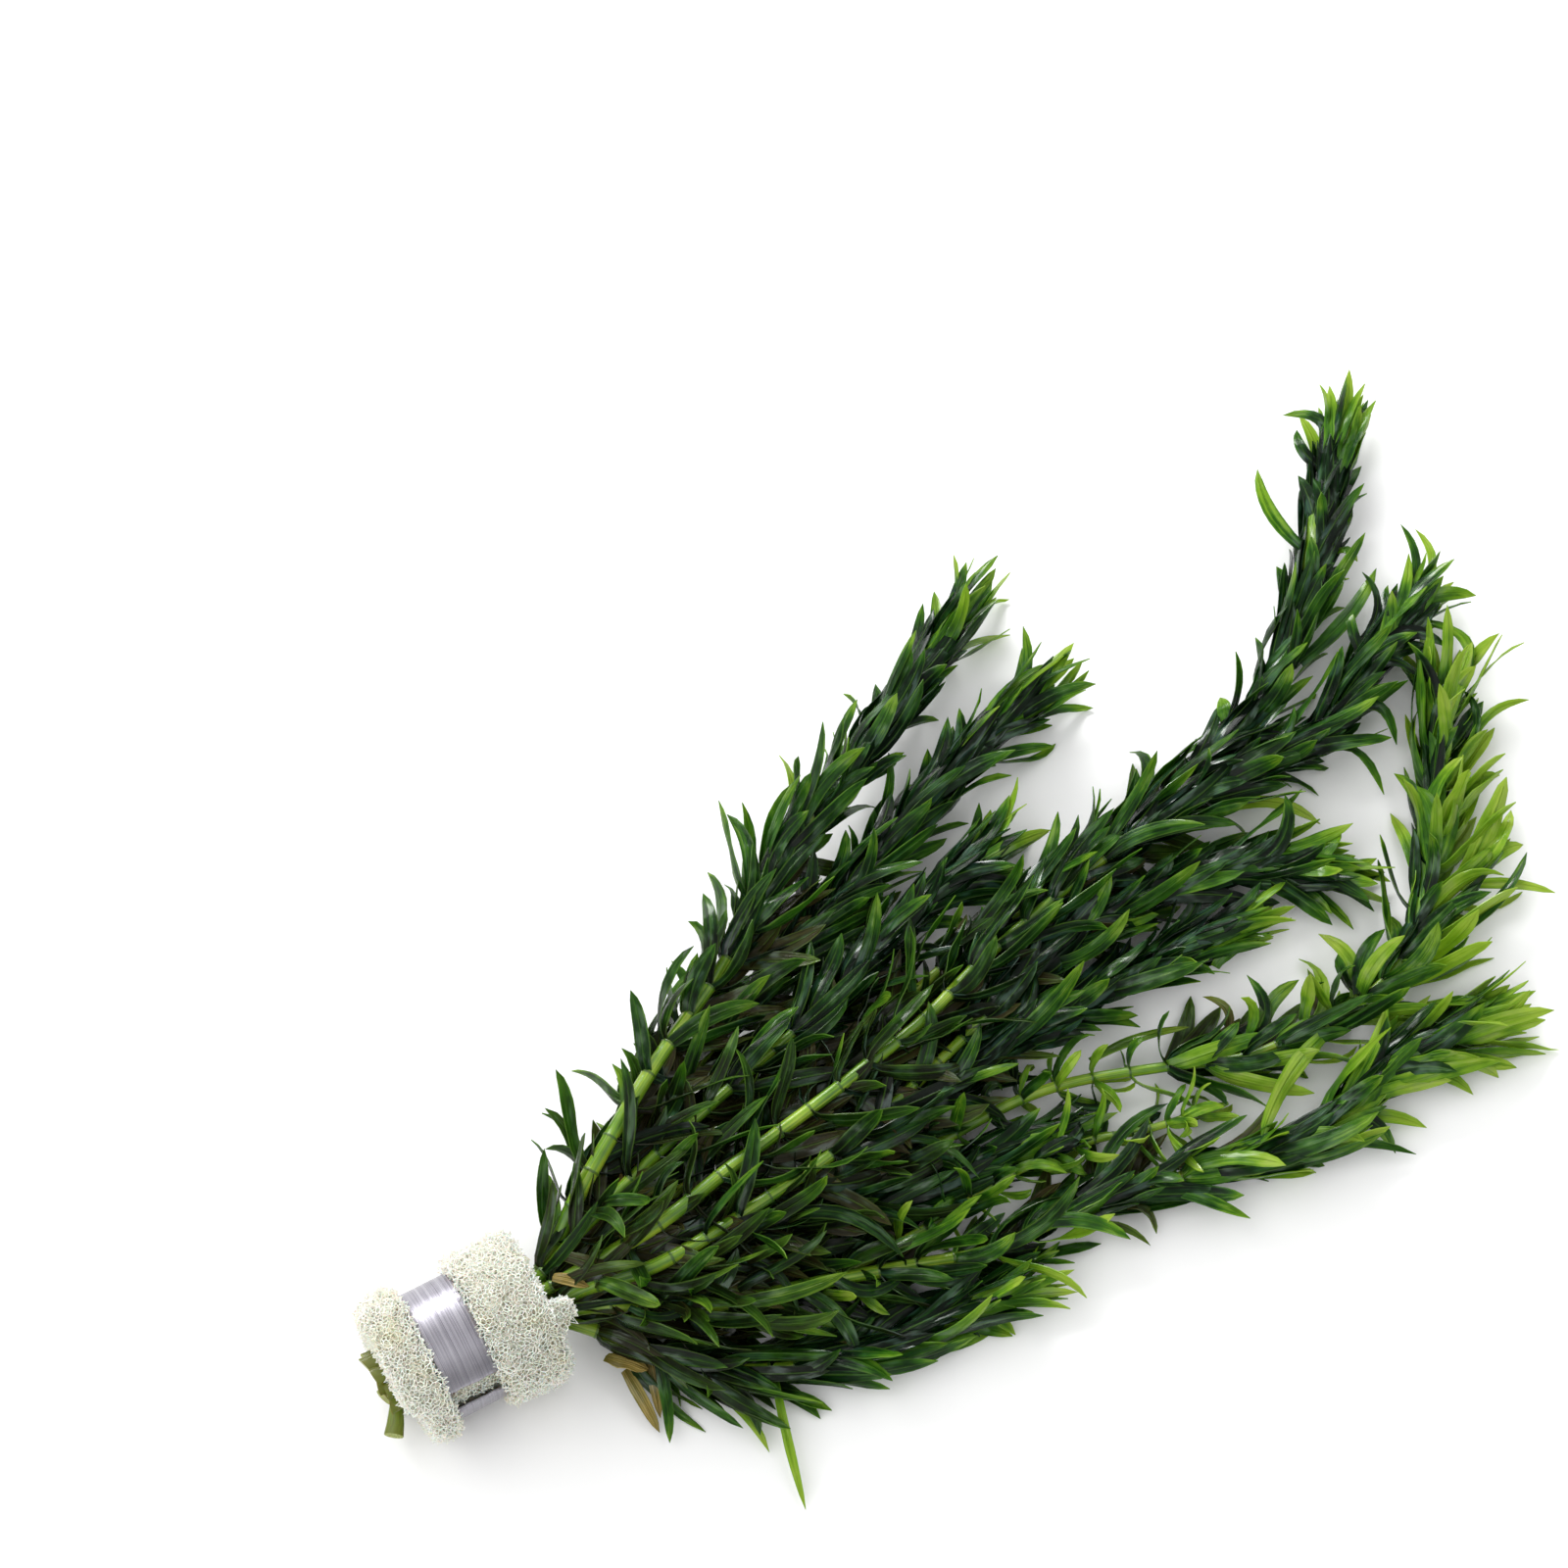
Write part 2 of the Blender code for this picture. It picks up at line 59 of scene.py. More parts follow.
# The rolled sponge, as in the part's source
ROLL_HEIGHT = 15 * MM
BORE_RADIUS = 6.85 * MM
PINCHED_RADIUS = 12.65 * MM
CUT_END = -14.4 * MM
CUT_RADIUS = 16.4 * MM
MOUTH_END = 20 * MM
MOUTH_RADIUS = 16.2 * MM
COLLAR_ROUNDING = 3.4 * MM
PINCH_ROUNDING = 1.8 * MM
BORE_ROUNDING = 1.6 * MM
GAP = 0.3 * MM

# The sponge's surface: its cells and struts, its core's depth, its lumps, its notch and its tab
CELL_SPACING = 1.4 * MM
STRUT_THICK = 0.3 * MM
STRUT_JITTER = 0.4 * MM
CORNER_SHIFT = 0.36
CORNER_CUT = 33
LOOSE_ENDS = 0.35
LOOSE_REACH = 1.1 * MM
CORE_DEPTH = 0.55 * MM
LUMP_HEIGHT = 0.8 * MM
LUMP_LENGTH = 6 * MM
NOTCH_FROM = -75
NOTCH_TO = 34
NOTCH_EDGE = 6
NOTCH_DEPTH = 3 * MM
NOTCH_REACH = 9 * MM
TAB_ANGLE = 54
TAB_SPREAD = 13
TAB_LENGTH = 4.2 * MM
TAB_TAPER = 0.75

# The lead strip
STRIP_WIDTH = 11 * MM
STRIP_THICK = 0.9 * MM
STRIP_FIRST_END = 34
STRIP_LAST_END = 378
STRIP_PROUD = 1.2 * MM
STRIP_PROUD_FROM = 335
STRIP_STEPS = 96
STRIP_EDGE = 0.16 * MM
STRIP_DENT = 0.16 * MM
STRIP_WAVE = 0.08 * MM
STRIP_SHARP = 50

# The stems
STEM_RADIUS = 1.35 * MM
STEM_TIP_RADIUS = 0.8 * MM
STEM_SIDES = 12
ROUTE_STEPS = 24
RING_SPACING = 2.5 * MM
NODE_SWELL = 1.12
NODE_HALF = 0.5 * MM
HELD_FROM_MOUTH = 7 * MM
FREE_FROM_MOUTH = 1 * MM
FIRST_WHORL = 1.5 * MM
THICKENS_OVER = 14 * MM
MOUTH_REACH = 16 * MM
BARE_STRETCH = 24 * MM

# Cut ends that stand out further than this lean out of the sponge, by this much
LEANS_FROM = 4.5
LEAN = (1.3, -11.2, -1)
LEAN_START = 5 * MM
OLIVE_REACH = 14 * MM
CRUSH_REACH = 7 * MM

# The whorls: how far apart they grow at the tip, and how that grows down the stem
TIP_BARE = 7.5 * MM
TIP_SPACING = 3 * MM
SPACING_GROWTH = 0.045
WIDEST_SPACING = 8 * MM
ROPE_REACH = 60 * MM

# The leaf blades. A young one is short, and one younger than YOUNG_FROM has the young greens
LEAF_LENGTH = 24 * MM
LEAF_WIDTH = 3.5 * MM
LEAF_THICK = 0.2 * MM
LEAF_STATIONS = 9
YOUNG_LENGTH = 16.5 * MM
YOUNG_REACH = 16 * MM
YOUNG_FROM = 0.5
FLOOR_CLEARANCE = 0.15 * MM

# How far round it a leaf's neighbours shade it, and how many of their places shade it fully
CROWD_REACH = 4.5 * MM
FULL_CROWD = 30

# The two rings of stems in the sponge
OUTER = 5.05 * MM
INNER = 1.85 * MM

# Each stem: its place in the sponge, its habits, and its route from the sponge's mouth as (along,
# left, up) in millimetres
Stem = namedtuple("Stem", "slot angle stand_out bright spread bare_top thickness route")
STEMS = {
    "stem_01": Stem(OUTER, 170, 2, 0.18, 0.8, 0.9, 1.35, [
        (40, 16, 25), (63, 31, 25), (83, 43, 22), (110, 62, 18), (132, 75, 14), (155, 88, 11),
        (176, 100, 9)]),
    "stem_02": Stem(OUTER, 210, 1, 0.14, 0.9, 0.6, 1, [
        (38, 11, 13), (58, 22, 14), (81, 35, 14), (99, 43, 13), (116, 50, 12), (138, 60, 10),
        (157, 68, 9), (180, 74, 8)]),
    "stem_03": Stem(OUTER, 130, 3, 0.14, 0.9, 0.8, 1.1, [
        (36, 8, 22), (54, 14, 23), (73, 20, 21), (96, 27, 18), (122, 37, 14), (140, 43, 11),
        (153, 46, 10)]),
    "stem_04": Stem(INNER, 150, 1.5, 0.28, 0.7, 0.6, 1, [
        (38, 4, 17), (57, 7, 17), (96, 16, 14), (128, 26, 12), (154, 31, 11), (180, 36, 10),
        (199, 41, 9), (214, 46, 9), (228, 54, 8), (246, 70, 8), (272, 99, 8)]),
    "stem_05": Stem(OUTER, 90, 2.5, 0.2, 0.9, 0.9, 1.2, [
        (34, 0, 22), (48, 0, 25), (66, 4, 24), (91, 9, 22), (117, 15, 20), (136, 22, 17),
        (176, 32, 14), (203, 35, 11), (227, 37, 9), (238, 42, 8), (249, 48, 8), (263, 53, 9)]),
    "stem_06": Stem(OUTER, 50, 1.5, 0.3, 0.7, 0.9, 1.2, [
        (28, -3.6, 20), (44, -7, 23), (73, -4, 21), (90, -1, 19), (105, 3, 17), (142, 15, 13),
        (164, 20, 11), (187, 20, 9), (200, 16, 8), (215, 6, 7)]),
    "stem_07": Stem(INNER, 30, 1, 0.18, 0.8, 0.5, 1, [
        (36, -3, 17), (52, -8, 17), (83, -6, 14), (111, 1, 12), (137, 6, 10), (161, 7, 9),
        (190, 7, 7)]),
    "stem_08": Stem(INNER, 270, 2, 0.46, 1.25, 0.5, 1.1, [
        (36, -2, 12), (62, -9, 11), (93, -8, 9), (122, -6, 8), (138, -7, 7), (160, -14, 7),
        (176, -20, 7), (192, -21, 7), (207, -20, 7), (220, -15, 7), (231, -5, 7), (238, 5, 7),
        (247, 19, 7), (259, 38, 7)]),
    "stem_09": Stem(OUTER, 250, 5, 0.14, 0.9, 0.5, 1, [
        (36, -1, 8), (62, -12, 6), (93, -13, 6), (116, -14, 6), (132, -15.5, 6)]),
    "stem_10": Stem(OUTER, 290, 2, 0.3, 1, 0.7, 1, [
        (36, -9, 9), (62, -20, 7), (99, -21, 6), (121, -19, 6), (138, -20.5, 6), (150, -24, 6),
        (168, -27, 6)]),
    "stem_11": Stem(OUTER, 10, 1.5, 0.44, 0.55, 0.8, 1.3, [
        (28, -6.2, 16.5), (42, -14, 15), (58, -19, 13), (75, -23, 11), (93, -28, 9), (107, -32, 8),
        (132, -33, 7), (148, -36, 7), (163, -40, 7), (176, -42, 7), (192, -38, 7), (212, -36, 7),
        (226, -37, 6)]),
    "stem_12": Stem(OUTER, 330, 1.5, 0.32, 0.35, 0.35, 1.2, [
        (27, -9, 11), (36, -18, 8), (46, -27, 6.5), (60, -34, 6), (75, -39, 6), (90, -40, 6),
        (108, -41, 6)]),
}

# Where along the roll, in millimetres, a stem has lost most of its leaves, where its upper leaves
# stand up, and from where its outer leaves fan out
SPARSE = {"stem_08": (100, 160), "stem_10": (60, 175)}
CREST = {"stem_08": (158, 205)}
FAN = {"stem_08": 185, "stem_11": 180, "stem_05": 225}

# Leaves that stray from their stems: the foot and the tip as (along, left, up), how far they bow
# to the left, the width, all in millimetres, how young they are, and how withered if they are
STRAYS = {"stem_03": [
    ((44.1, 17.7, 25), (66.9, 14.4, 23), 1, 3.4, 0.05),
    ((58.3, 4.2, 22), (64.4, 18.8, 21), 0, 4, 0),
], "stem_04": [
    ((249.7, 75.5, 8), (250.7, 99.8, 7), 3, 3.2, 0.45),
    ((263.2, 92.2, 8), (263.7, 104.2, 7), 2, 2.6, 0.3),
    ((265.1, 95.4, 8), (262.9, 109, 7), -5, 2.6, 0.3),
    ((255.2, 73.3, 8), (258.2, 69.3, 7), 1, 2.6, 0.6),
    ((233.3, 53.2, 9), (260.6, 65.4, 8), -2, 3.4, 0.35),
    ((211.3, 47.2, 9), (213.9, 54.4, 8), 0, 3.4, 0.5),
], "stem_05": [
    ((201.5, 32.2, 5), (218.7, 19.5, 4), 3, 3, 0.6),
    ((219.1, 32.8, 8), (233.1, 17.6, 8), 8, 2.8, 0.35),
    ((232.4, 36.9, 9), (241.4, 26.1, 9), 7, 3, 0.1),
    ((241.7, 41.6, 9), (254.8, 37.2, 9), 5, 3.2, 0.3),
    ((248.2, 46.7, 10), (263.2, 40.8, 10), 4, 3.2, 0.1),
    ((260.1, 53.5, 9), (271.2, 72.3, 8), -3, 2, 0.2),
    ((262.5, 54.1, 9), (273.4, 69.7, 8), -4, 2, 0.5),
    ((23.8, 0.5, 24), (29.5, -4.2, 22), 0, 2.6, 0.2, 0.8),
    ((27.9, 3.8, 23), (40.4, -9.4, 21), 0, 3, 0.1, 0.1),
    ((69.6, -8.6, 19), (89.5, -27.2, 16), 5, 3.2, 0.15),
    ((262.6, 48.8, 9), (260.7, 31.3, 9), 6, 2.6, 0.6),
    ((258.3, 52.2, 9), (276.4, 49.2, 8), 2, 3.6, 0.5),
    ((249, 51.8, 9), (257, 65.7, 9), -3, 1.6, 0.1),
    ((246.2, 48.4, 9), (249.9, 59, 9), 1, 2.4, 0.35),
], "stem_06": [
    ((210.7, 11, 8), (221.2, 16.3, 6), -1, 3, 0.55),
    ((34.9, -11.3, 20), (49.9, -13.3, 20), -5, 2, 0.3),
    ((92.2, -4.8, 17), (111.9, -19.3, 14), 6, 1.8, 0.45),
    ((86.3, -3, 18), (108.3, -4.1, 18), -1, 3.6, 0.4),
], "stem_07": [
    ((176.9, 4.4, 8), (195.9, 3.8, 6), 1, 3.6, 0.6),
    ((180.7, 0.5, 7), (190.5, 1.6, 6), 1, 3, 0.5),
    ((185.6, 8.9, 8), (200.5, 6.8, 7), 1, 3.4, 0.2),
], "stem_08": [
    ((194.5, -23.8, 9), (168, -38.8, 11), -2, 3.6, 0.65),
    ((146.9, -4.9, 6), (169.4, -8, 5), 1, 2.4, 0.45, 0.1),
    ((173.9, -14.8, 8), (174.9, -4, 7), -3, 1.8, 0, 0.2),
    ((173.1, -16.4, 7), (185.4, -4.5, 8), -6, 2.8, 0.1),
    ((178.9, -19, 8), (194.8, -10.4, 7), 2, 3.4, 0.3, 0.05),
    ((189.5, -19.7, 8), (198, -8.8, 6), -2, 2.2, 0.3, 0.1),
    ((202.8, -19.7, 8), (204.6, -2.7, 5), -3, 3.2, 0.7, 0.1),
    ((203.6, -19.7, 9), (217, -9.1, 7), 2, 3.2, 0.2),
    ((254.4, 17.5, 7), (273.5, 22.3, 7), 3, 2, 0.6),
    ((256, 19.3, 7), (261.5, 30.7, 8), -2, 1.8, 0.4),
    ((238.6, -6.4, 7), (258.6, 8.6, 8), -1, 4.8, 0.85),
    ((242.2, -6.3, 7), (255.6, 1.7, 7), -1, 3.2, 0.8),
    ((242.5, -7.3, 7), (253.9, -6.1, 6), 1, 3.4, 0.8),
    ((235.6, -8, 7), (253.9, -18.9, 6), 1, 2.4, 0.6),
    ((229.2, -17.9, 8), (252.9, -8.6, 8), -2, 2.4, 0.2),
], "stem_11": [
    ((125, -36.6, 4), (138.4, -45.3, 2), 3, 1.8, 0.3, 0.1),
    ((137.7, -36.3, 5), (140.8, -43.6, 2), 2, 2, 0.35, 0.1),
    ((169.5, -42.4, 6), (197.5, -54.3, 2), 3, 2.4, 0.4),
    ((184.2, -42.4, 7), (193.8, -52.1, 2), 4, 3.2, 0.4),
    ((202.2, -40.2, 5), (215.1, -48.7, 2), 3, 3, 0.5),
    ((151.2, -34.4, 7), (178.3, -29.6, 5), -4, 2.8, 0.15, 0.1),
    ((46.2, -8.4, 18), (63.9, -24.6, 13), 0, 3.6, 0.1, 0.1),
    ((56.1, -10.2, 18), (65.6, -26.6, 14), 4, 2.2, 0.25),
    ((68.4, -23, 13), (72.4, -39.9, 8), 2, 3.2, 0.25),
    ((75.1, -21.9, 12), (88.8, -28.8, 10), -4, 2.8, 0.3),
    ((88, -25.7, 10), (103.1, -35.4, 9), -3, 3, 0.3),
    ((129.1, -30.7, 8), (150.5, -22.8, 9), -2, 3, 0.1),
    ((133.1, -30.9, 8), (156, -21.6, 8), 3, 2.6, 0.1),
    ((74.6, -22.5, 8), (90.6, -35.3, 5), 2, 3.6, 0.05),
    ((81.8, -24.1, 7), (97.6, -35.3, 4), 3, 3.4, 0.1),
    ((65.7, -20, 9), (79.4, -32.7, 6), 0, 3.6, 0),
], "stem_12": [
    ((103.8, -38.7, 4), (116.1, -46.5, 2), 2, 2.8, 0.3),
    ((95.5, -39, 4), (104.3, -48.6, 1.5), 2, 3.2, 0.55),
    ((29.6, -18.4, 6), (30.3, -32.2, 1.5), 0, 2.6, 0.2, 0.75),
    ((35.6, -17.3, 7), (31.8, -29.7, 2), 0, 2.4, 0.3, 0.55),
    ((27.2, -14.9, 9), (33.7, -21.3, 8), 0, 3.4, 0.2, 0.8),
    ((38.4, -23.4, 4), (48, -46.5, 1.5), 3, 2.4, 0.55),
    ((56, -33.7, 5), (48.8, -60.5, 1.5), -0.5, 2, 0.65),
    ((69.8, -33.6, 5), (90.7, -33, 5), 2, 3.6, 0.05),
    ((59.4, -31.7, 5), (81.3, -31.3, 6), -3, 3.6, 0),
    ((76.5, -35.8, 5), (99.3, -36.3, 4), 2, 3.4, 0.1),
]}

BUNCH_MIDDLE = Vector((150 * MM, 22 * MM))
STEM_SKIN, OLD_BLADE, PITH, YOUNG_BLADE = range(4)

# The view: it looks down on the bunch, with the roll at the lower left
LOOK_AT = (122.1 * MM, 84.6 * MM, 0)
VIEW_HEADING = radians(28.35)
VIEW_ELEVATION = radians(65)
VIEW_DISTANCE = 0.95
VIEW_LENS = 100

# The lamps: where each stands round the bunch, how far off and how high, its size and its power
LIGHT_HEADING = radians(12)
ROOM_LIGHT = 0.42
LAMPS = [("back_light", 0, (1.3, 0.75), (0.9, 0.35), 22),
         ("right_light", 90, (0.95, 1.25), (2.6, 1.6), 10),
         ("front_light", 180, (0.95, 1.25), (2.6, 1.6), 4),
         ("left_light", 270, (0.95, 1.25), (2.6, 1.6), 22)]

STRIP_LOW, STRIP_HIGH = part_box("lead_strip")
TO_FRAME = Matrix.Translation((
    (STRIP_LOW.x + STRIP_HIGH.x) / 2, STRIP_HIGH.y - PINCHED_RADIUS - GAP - STRIP_THICK, 0))

# The drift of the leaves is drawn from one seed too, so each run gives the same bunch
noise.seed_set(7)


def random_for(name):
    """Each piece draws its own repeatable random numbers."""
    return random.Random("waterweed " + name)


def roll_point(along, radius, angle):
    turn = radians(angle)
    return Vector((along, -radius * cos(turn), ROLL_HEIGHT + radius * sin(turn)))


def roll_place(point):
    """A point's place along and round the roll's axis."""
    up = point.z - ROLL_HEIGHT
    return point.x, hypot(point.y, up), degrees(atan2(up, -point.y)) % 360


def step_up(value, at, width):
    """Nought before a value and one after it, with a smooth step between."""
    share = min(max((value - at) / width + 0.5, 0), 1)
    return share * share * (3 - 2 * share)


def fading(value, reach):
    """One at nought, and evenly less from there to nought at the reach."""
    return max(0, 1 - value / reach)


def turned(first, second, angle):
    """Two directions turned together, from the first towards the second."""
    return first * cos(angle) + second * sin(angle), second * cos(angle) - first * sin(angle)


def notch(angle):
    """How far the sponge's cut end steps back on the side where the cut stems lean out."""
    turn = (angle + 180) % 360 - 180
    return step_up(turn, NOTCH_FROM, NOTCH_EDGE) * (1 - step_up(turn, NOTCH_TO, NOTCH_EDGE))


class Value:
    """A socket of a material that can be used in sums, which add its Math nodes."""

    def __init__(self, look, socket):
        self.look = look
        self.socket = socket

    def __add__(self, other):
        return self.look.maths("ADD", self, other)

    def __sub__(self, other):
        return self.look.maths("SUBTRACT", self, other)

    def __rsub__(self, other):
        return self.look.maths("SUBTRACT", other, self)

    def __mul__(self, other):
        return self.look.maths("MULTIPLY", self, other)

    __radd__ = __add__
    __rmul__ = __mul__


class Look:
    """A material made of nodes, round one Principled shader."""

    def __init__(self, name, **shader):
        self.material = bpy.data.materials.new(name)
        self.material.use_nodes = True
        self.tree = self.material.node_tree
        self.shader = self.tree.nodes["Principled BSDF"]
        self.put(**shader)

    def put(self, **sockets):
        """Sets or links the shader's sockets, whose names are given with underscores."""
        for name, value in sockets.items():
            self.join(value, self.shader.inputs[name.replace("_", " ")])

    def join(self, value, socket):
        if isinstance(value, Value):
            self.tree.links.new(value.socket, socket)
        elif isinstance(value, tuple) and len(value) == 3 and socket.type == "RGBA":
            socket.default_value = (*value, 1)
        else:
            socket.default_value = value

    def add(self, kind, settings=None, inputs=None, output=0):
        """Adds a node: its settings first, then the values or links of its sockets."""
        node = self.tree.nodes.new("ShaderNode" + kind)
        for name, value in (settings or {}).items():
            setattr(node, name, value)
        for key, value in (inputs or {}).items():
            self.join(value, node.inputs[key])
        return Value(self, node.outputs[output])

    def maths(self, operation, first, second=0, clamp=False):
        return self.add("Math", {"operation": operation, "use_clamp": clamp},
                        {0: first, 1: second})

    def clamp(self, value):
        return self.maths("ADD", value, 0, clamp=True)

    def smooth(self, value, low, high):
        return self.add("MapRange", {"interpolation_type": "SMOOTHSTEP"},
                        {"Value": value, "From Min": low, "From Max": high})

    def mix(self, share, first, second):
        return self.add("Mix", {"data_type": "RGBA"}, {0: share, 6: first, 7: second}, 2)

    def greens(self, tone, stops):
        """Follows a tone through stops, each a tone and its green."""
        value = self.add("ValToRGB", None, {0: tone})
        elements = value.socket.node.color_ramp.elements
        while len(elements) < len(stops):
            elements.new(1)
        for element, (position, colour) in zip(elements, stops):
            element.position, element.color = position, (*colour, 1)
        return value

    def here(self):
        return self.add("TexCoord", output="Object")

    def noise(self, scale, detail=3, vector=None):
        return self.add("TexNoise", None, {"Vector": vector or self.here(), "Scale": scale,
                                           "Detail": detail, "Roughness": 0.55})

    def streaks(self, vector, across, along, detail=2):
        """Noise with one scale across a surface and another along it."""
        wide = {"Vector": vector, "Scale": (across, along, 1)}
        return self.noise(1, detail, self.add("Mapping", None, wide))

    def cells(self, feature, scale, output=0):
        return self.add("TexVoronoi", {"feature": feature},
                        {"Vector": self.here(), "Scale": scale}, output)

    def attributes(self, *names):
        return [self.add("Attribute", {"attribute_name": name}, output="Fac") for name in names]

    def bump(self, height, distance, strength):
        self.put(Normal=self.add("Bump", None, {
            "Height": height, "Distance": distance * MM, "Strength": strength}))


def leaf_look(name, greens, glow, clearness):
    """A wet leaf, with painted shade that makes it darkest among its neighbours, and painted light
    where it is free, where it also lets more light through.
    """
    look = Look(name, Specular_IOR_Level=0.1, Coat_Roughness=0.12)
    blade = look.add("UVMap", {"uv_map": "blade"})
    across = look.add("SeparateXYZ", None, {0: blade})
    along = Value(look, across.socket.node.outputs[1])
    side = look.maths("ABSOLUTE", across - 0.5) * 2
    youth, shade, wilt, free = look.attributes("youth", "shade", "wilt", "free")
    own = look.add("VectorMath", {"operation": "ADD"}, {0: blade, 1: shade * 7})
    patches = look.noise(170)
    blotches = look.streaks(own, 1.6, 3.2)
    veins = look.streaks(own, 12, 0.9)
    tip = look.smooth(along, 0.45, 1)
    # Painted light and shade: the free terms darken the greens where leaves crowd, and lighten
    # them, most at the tip, where a leaf stands free.
    tone = look.clamp(0.01 + youth * 0.44 + shade * 0.14 + free * (0.32 + youth * 0.25)
                      + tip * free * 0.32 + (patches - 0.5) * 0.6 + (blotches - 0.5) * 1.1
                      + (veins - 0.5) * 0.9)
    green = look.greens(tone, greens)
    rib = 1 - look.smooth(side, 0.03, 0.18)
    edge = look.smooth(side, 0.8, 0.97)
    # Painted sheen: a blue-grey reflection mixed into the greens in patches where leaves crowd.
    painted_sheen = look.smooth(blotches, 0.54, 0.68) * (1 - free)
    green = look.mix(painted_sheen * 0.4, green, (0.04, 0.09, 0.075))
    green = look.mix(rib * 0.2, green, (0.13, 0.32, 0.03))
    # Pale margins where a leaf stands free: partly the thin margin's own colour, partly painted
    # light.
    green = look.mix(edge * patches * free * 0.7, green, (0.22, 0.42, 0.05))
    withered = look.clamp(wilt + tip * wilt * 1.2 + (patches - 0.5) * wilt)
    brown = look.mix(look.smooth(veins, 0.35, 0.65), (0.18, 0.13, 0.025), (0.52, 0.38, 0.12))
    look.put(Base_Color=look.mix(withered, green, brown), Roughness=0.08 + patches * 0.24,
             Coat_Weight=0.08 + look.smooth(blotches, 0.5, 0.66) * 0.6)
    crinkles = look.noise(650, 2)
    look.bump(veins * 0.7 + rib * 0.8 + patches * 0.5 + crinkles * 0.25, 0.4, 0.8)

    light = look.add("BsdfTranslucent", None, {"Color": glow})
    mixed = look.add("MixShader", None, {
        0: look.clamp(clearness + free * 0.35), 1: Value(look, look.shader.outputs[0]), 2: light})
    look.join(mixed, look.tree.nodes["Material Output"].inputs["Surface"])
    return look.material


OLD_GREENS = [(0, (0.0008, 0.004, 0.0015)), (0.3, (0.005, 0.028, 0.004)),
              (0.6, (0.035, 0.13, 0.007)), (1, (0.25, 0.44, 0.025))]
YOUNG_GREENS = [(0, (0.008, 0.045, 0.006)), (0.3, (0.06, 0.18, 0.01)),
                (0.6, (0.21, 0.39, 0.022)), (1, (0.46, 0.61, 0.08))]
STEM_GREENS = [(0, (0.02, 0.08, 0.004)), (0.45, (0.11, 0.23, 0.01)), (1, (0.33, 0.45, 0.035))]


def stem_look():
    """A smooth yellow-green stem with fine lines along it and dark rings at its nodes."""
    look = Look("stem", Roughness=0.35, Specular_IOR_Level=0.35, Coat_Weight=0.15,
                Coat_Roughness=0.08, Subsurface_Weight=0.15, Subsurface_Scale=1 * MM)
    skin = look.add("UVMap", {"uv_map": "blade"})
    lines = look.streaks(skin, 22, 0.35)
    patches = look.noise(90)
    ring, shade, wilt = look.attributes("ring", "shade", "wilt")
    tone = look.clamp(0.5 + (patches - 0.5) * 1.5 + (lines - 0.5) * 1.4 + shade * 0.2)
    green = look.greens(tone, STEM_GREENS)
    green = look.mix(look.clamp(wilt + (patches - 0.5) * wilt), green, (0.13, 0.145, 0.012))
    dark = look.smooth(ring + (patches - 0.5) * 0.5, 0.2, 0.7)
    look.put(Base_Color=look.mix(dark * 0.75, green, (0.02, 0.06, 0.01)))
    look.bump(lines + ring * 1.5, 0.15, 0.5)
    return look.material


def pith_look():
    """The cut end of a stem: pale and wet, with tiny air channels."""
    look = Look("cut_pith", Roughness=0.35, Coat_Weight=0.3)
    patches = look.noise(700)
    wall = look.smooth(look.cells("DISTANCE_TO_EDGE", 2200), 0.02, 0.16)
    colour = look.mix(wall, (0.46, 0.5, 0.13), (0.22, 0.27, 0.045))
    look.put(Base_Color=look.mix(look.smooth(patches, 0.5, 0.7) * 0.6, colour, (0.3, 0.22, 0.05)))
    look.bump(1 - wall, 0.15, 0.8)
    return look.material


def strut_look():
    """The sponge's struts: cream, a little stained here and there."""
    look = Look("sponge_struts", Roughness=0.75, Subsurface_Weight=0.25, Subsurface_Scale=1.5 * MM)
    stain = look.noise(110, 4)
    grain = look.noise(1500, 2)
    colour = look.mix(look.smooth(stain, 0.5, 0.72), (0.82, 0.81, 0.72), (0.76, 0.74, 0.56))
    look.put(Base_Color=look.mix(grain * 0.6, colour, (0.88, 0.88, 0.84)))
    look.bump(grain, 0.05, 0.5)
    return look.material


def core_look():
    """The sponge between its struts: small cells with painted shade in their pores, on a cream a
    little darker than the struts, partly painted shade.
    """
    look = Look("sponge_cells", Roughness=0.9, Subsurface_Weight=0.2, Subsurface_Scale=1.5 * MM)
    wall = look.cells("DISTANCE_TO_EDGE", 1300)
    stain = look.noise(110, 4)
    chance = look.add("SeparateXYZ", None, {0: look.cells("F1", 1300, "Color")})
    # Painted shade in the open cells, which darkens them towards grey-brown.
    painted_pore_shade = look.smooth(wall, 0.04, 0.2) * (0.3 + look.smooth(chance, 0.2, 1) * 0.7)
    pale = look.mix(look.smooth(stain, 0.5, 0.72), (0.68, 0.68, 0.58), (0.62, 0.6, 0.42))
    look.put(Base_Color=look.mix(painted_pore_shade, pale, (0.23, 0.22, 0.15)))
    look.bump(1 - painted_pore_shade, 0.5, 1)
    return look.material


def lead_look():
    """Soft grey metal with fine lines along the strip, and cloudy patches."""
    look = Look("lead", Metallic=1)
    surface = look.add("UVMap", {"uv_map": "strip"})
    lines = look.streaks(surface, 210, 2, 3)
    broad = look.streaks(surface, 24, 1)
    cloud = look.noise(160, 4)
    tone = look.clamp(lines * 2.6 + broad * 1.2 + cloud * 0.5 - 1.65)
    look.put(Base_Color=look.mix(tone, (0.15, 0.14, 0.17), (0.49, 0.48, 0.52)),
             Roughness=0.26 + lines * 0.16 + cloud * 0.1)
    look.bump(lines * 0.5 + broad * 0.7, 0.05, 0.6)
    return look.material


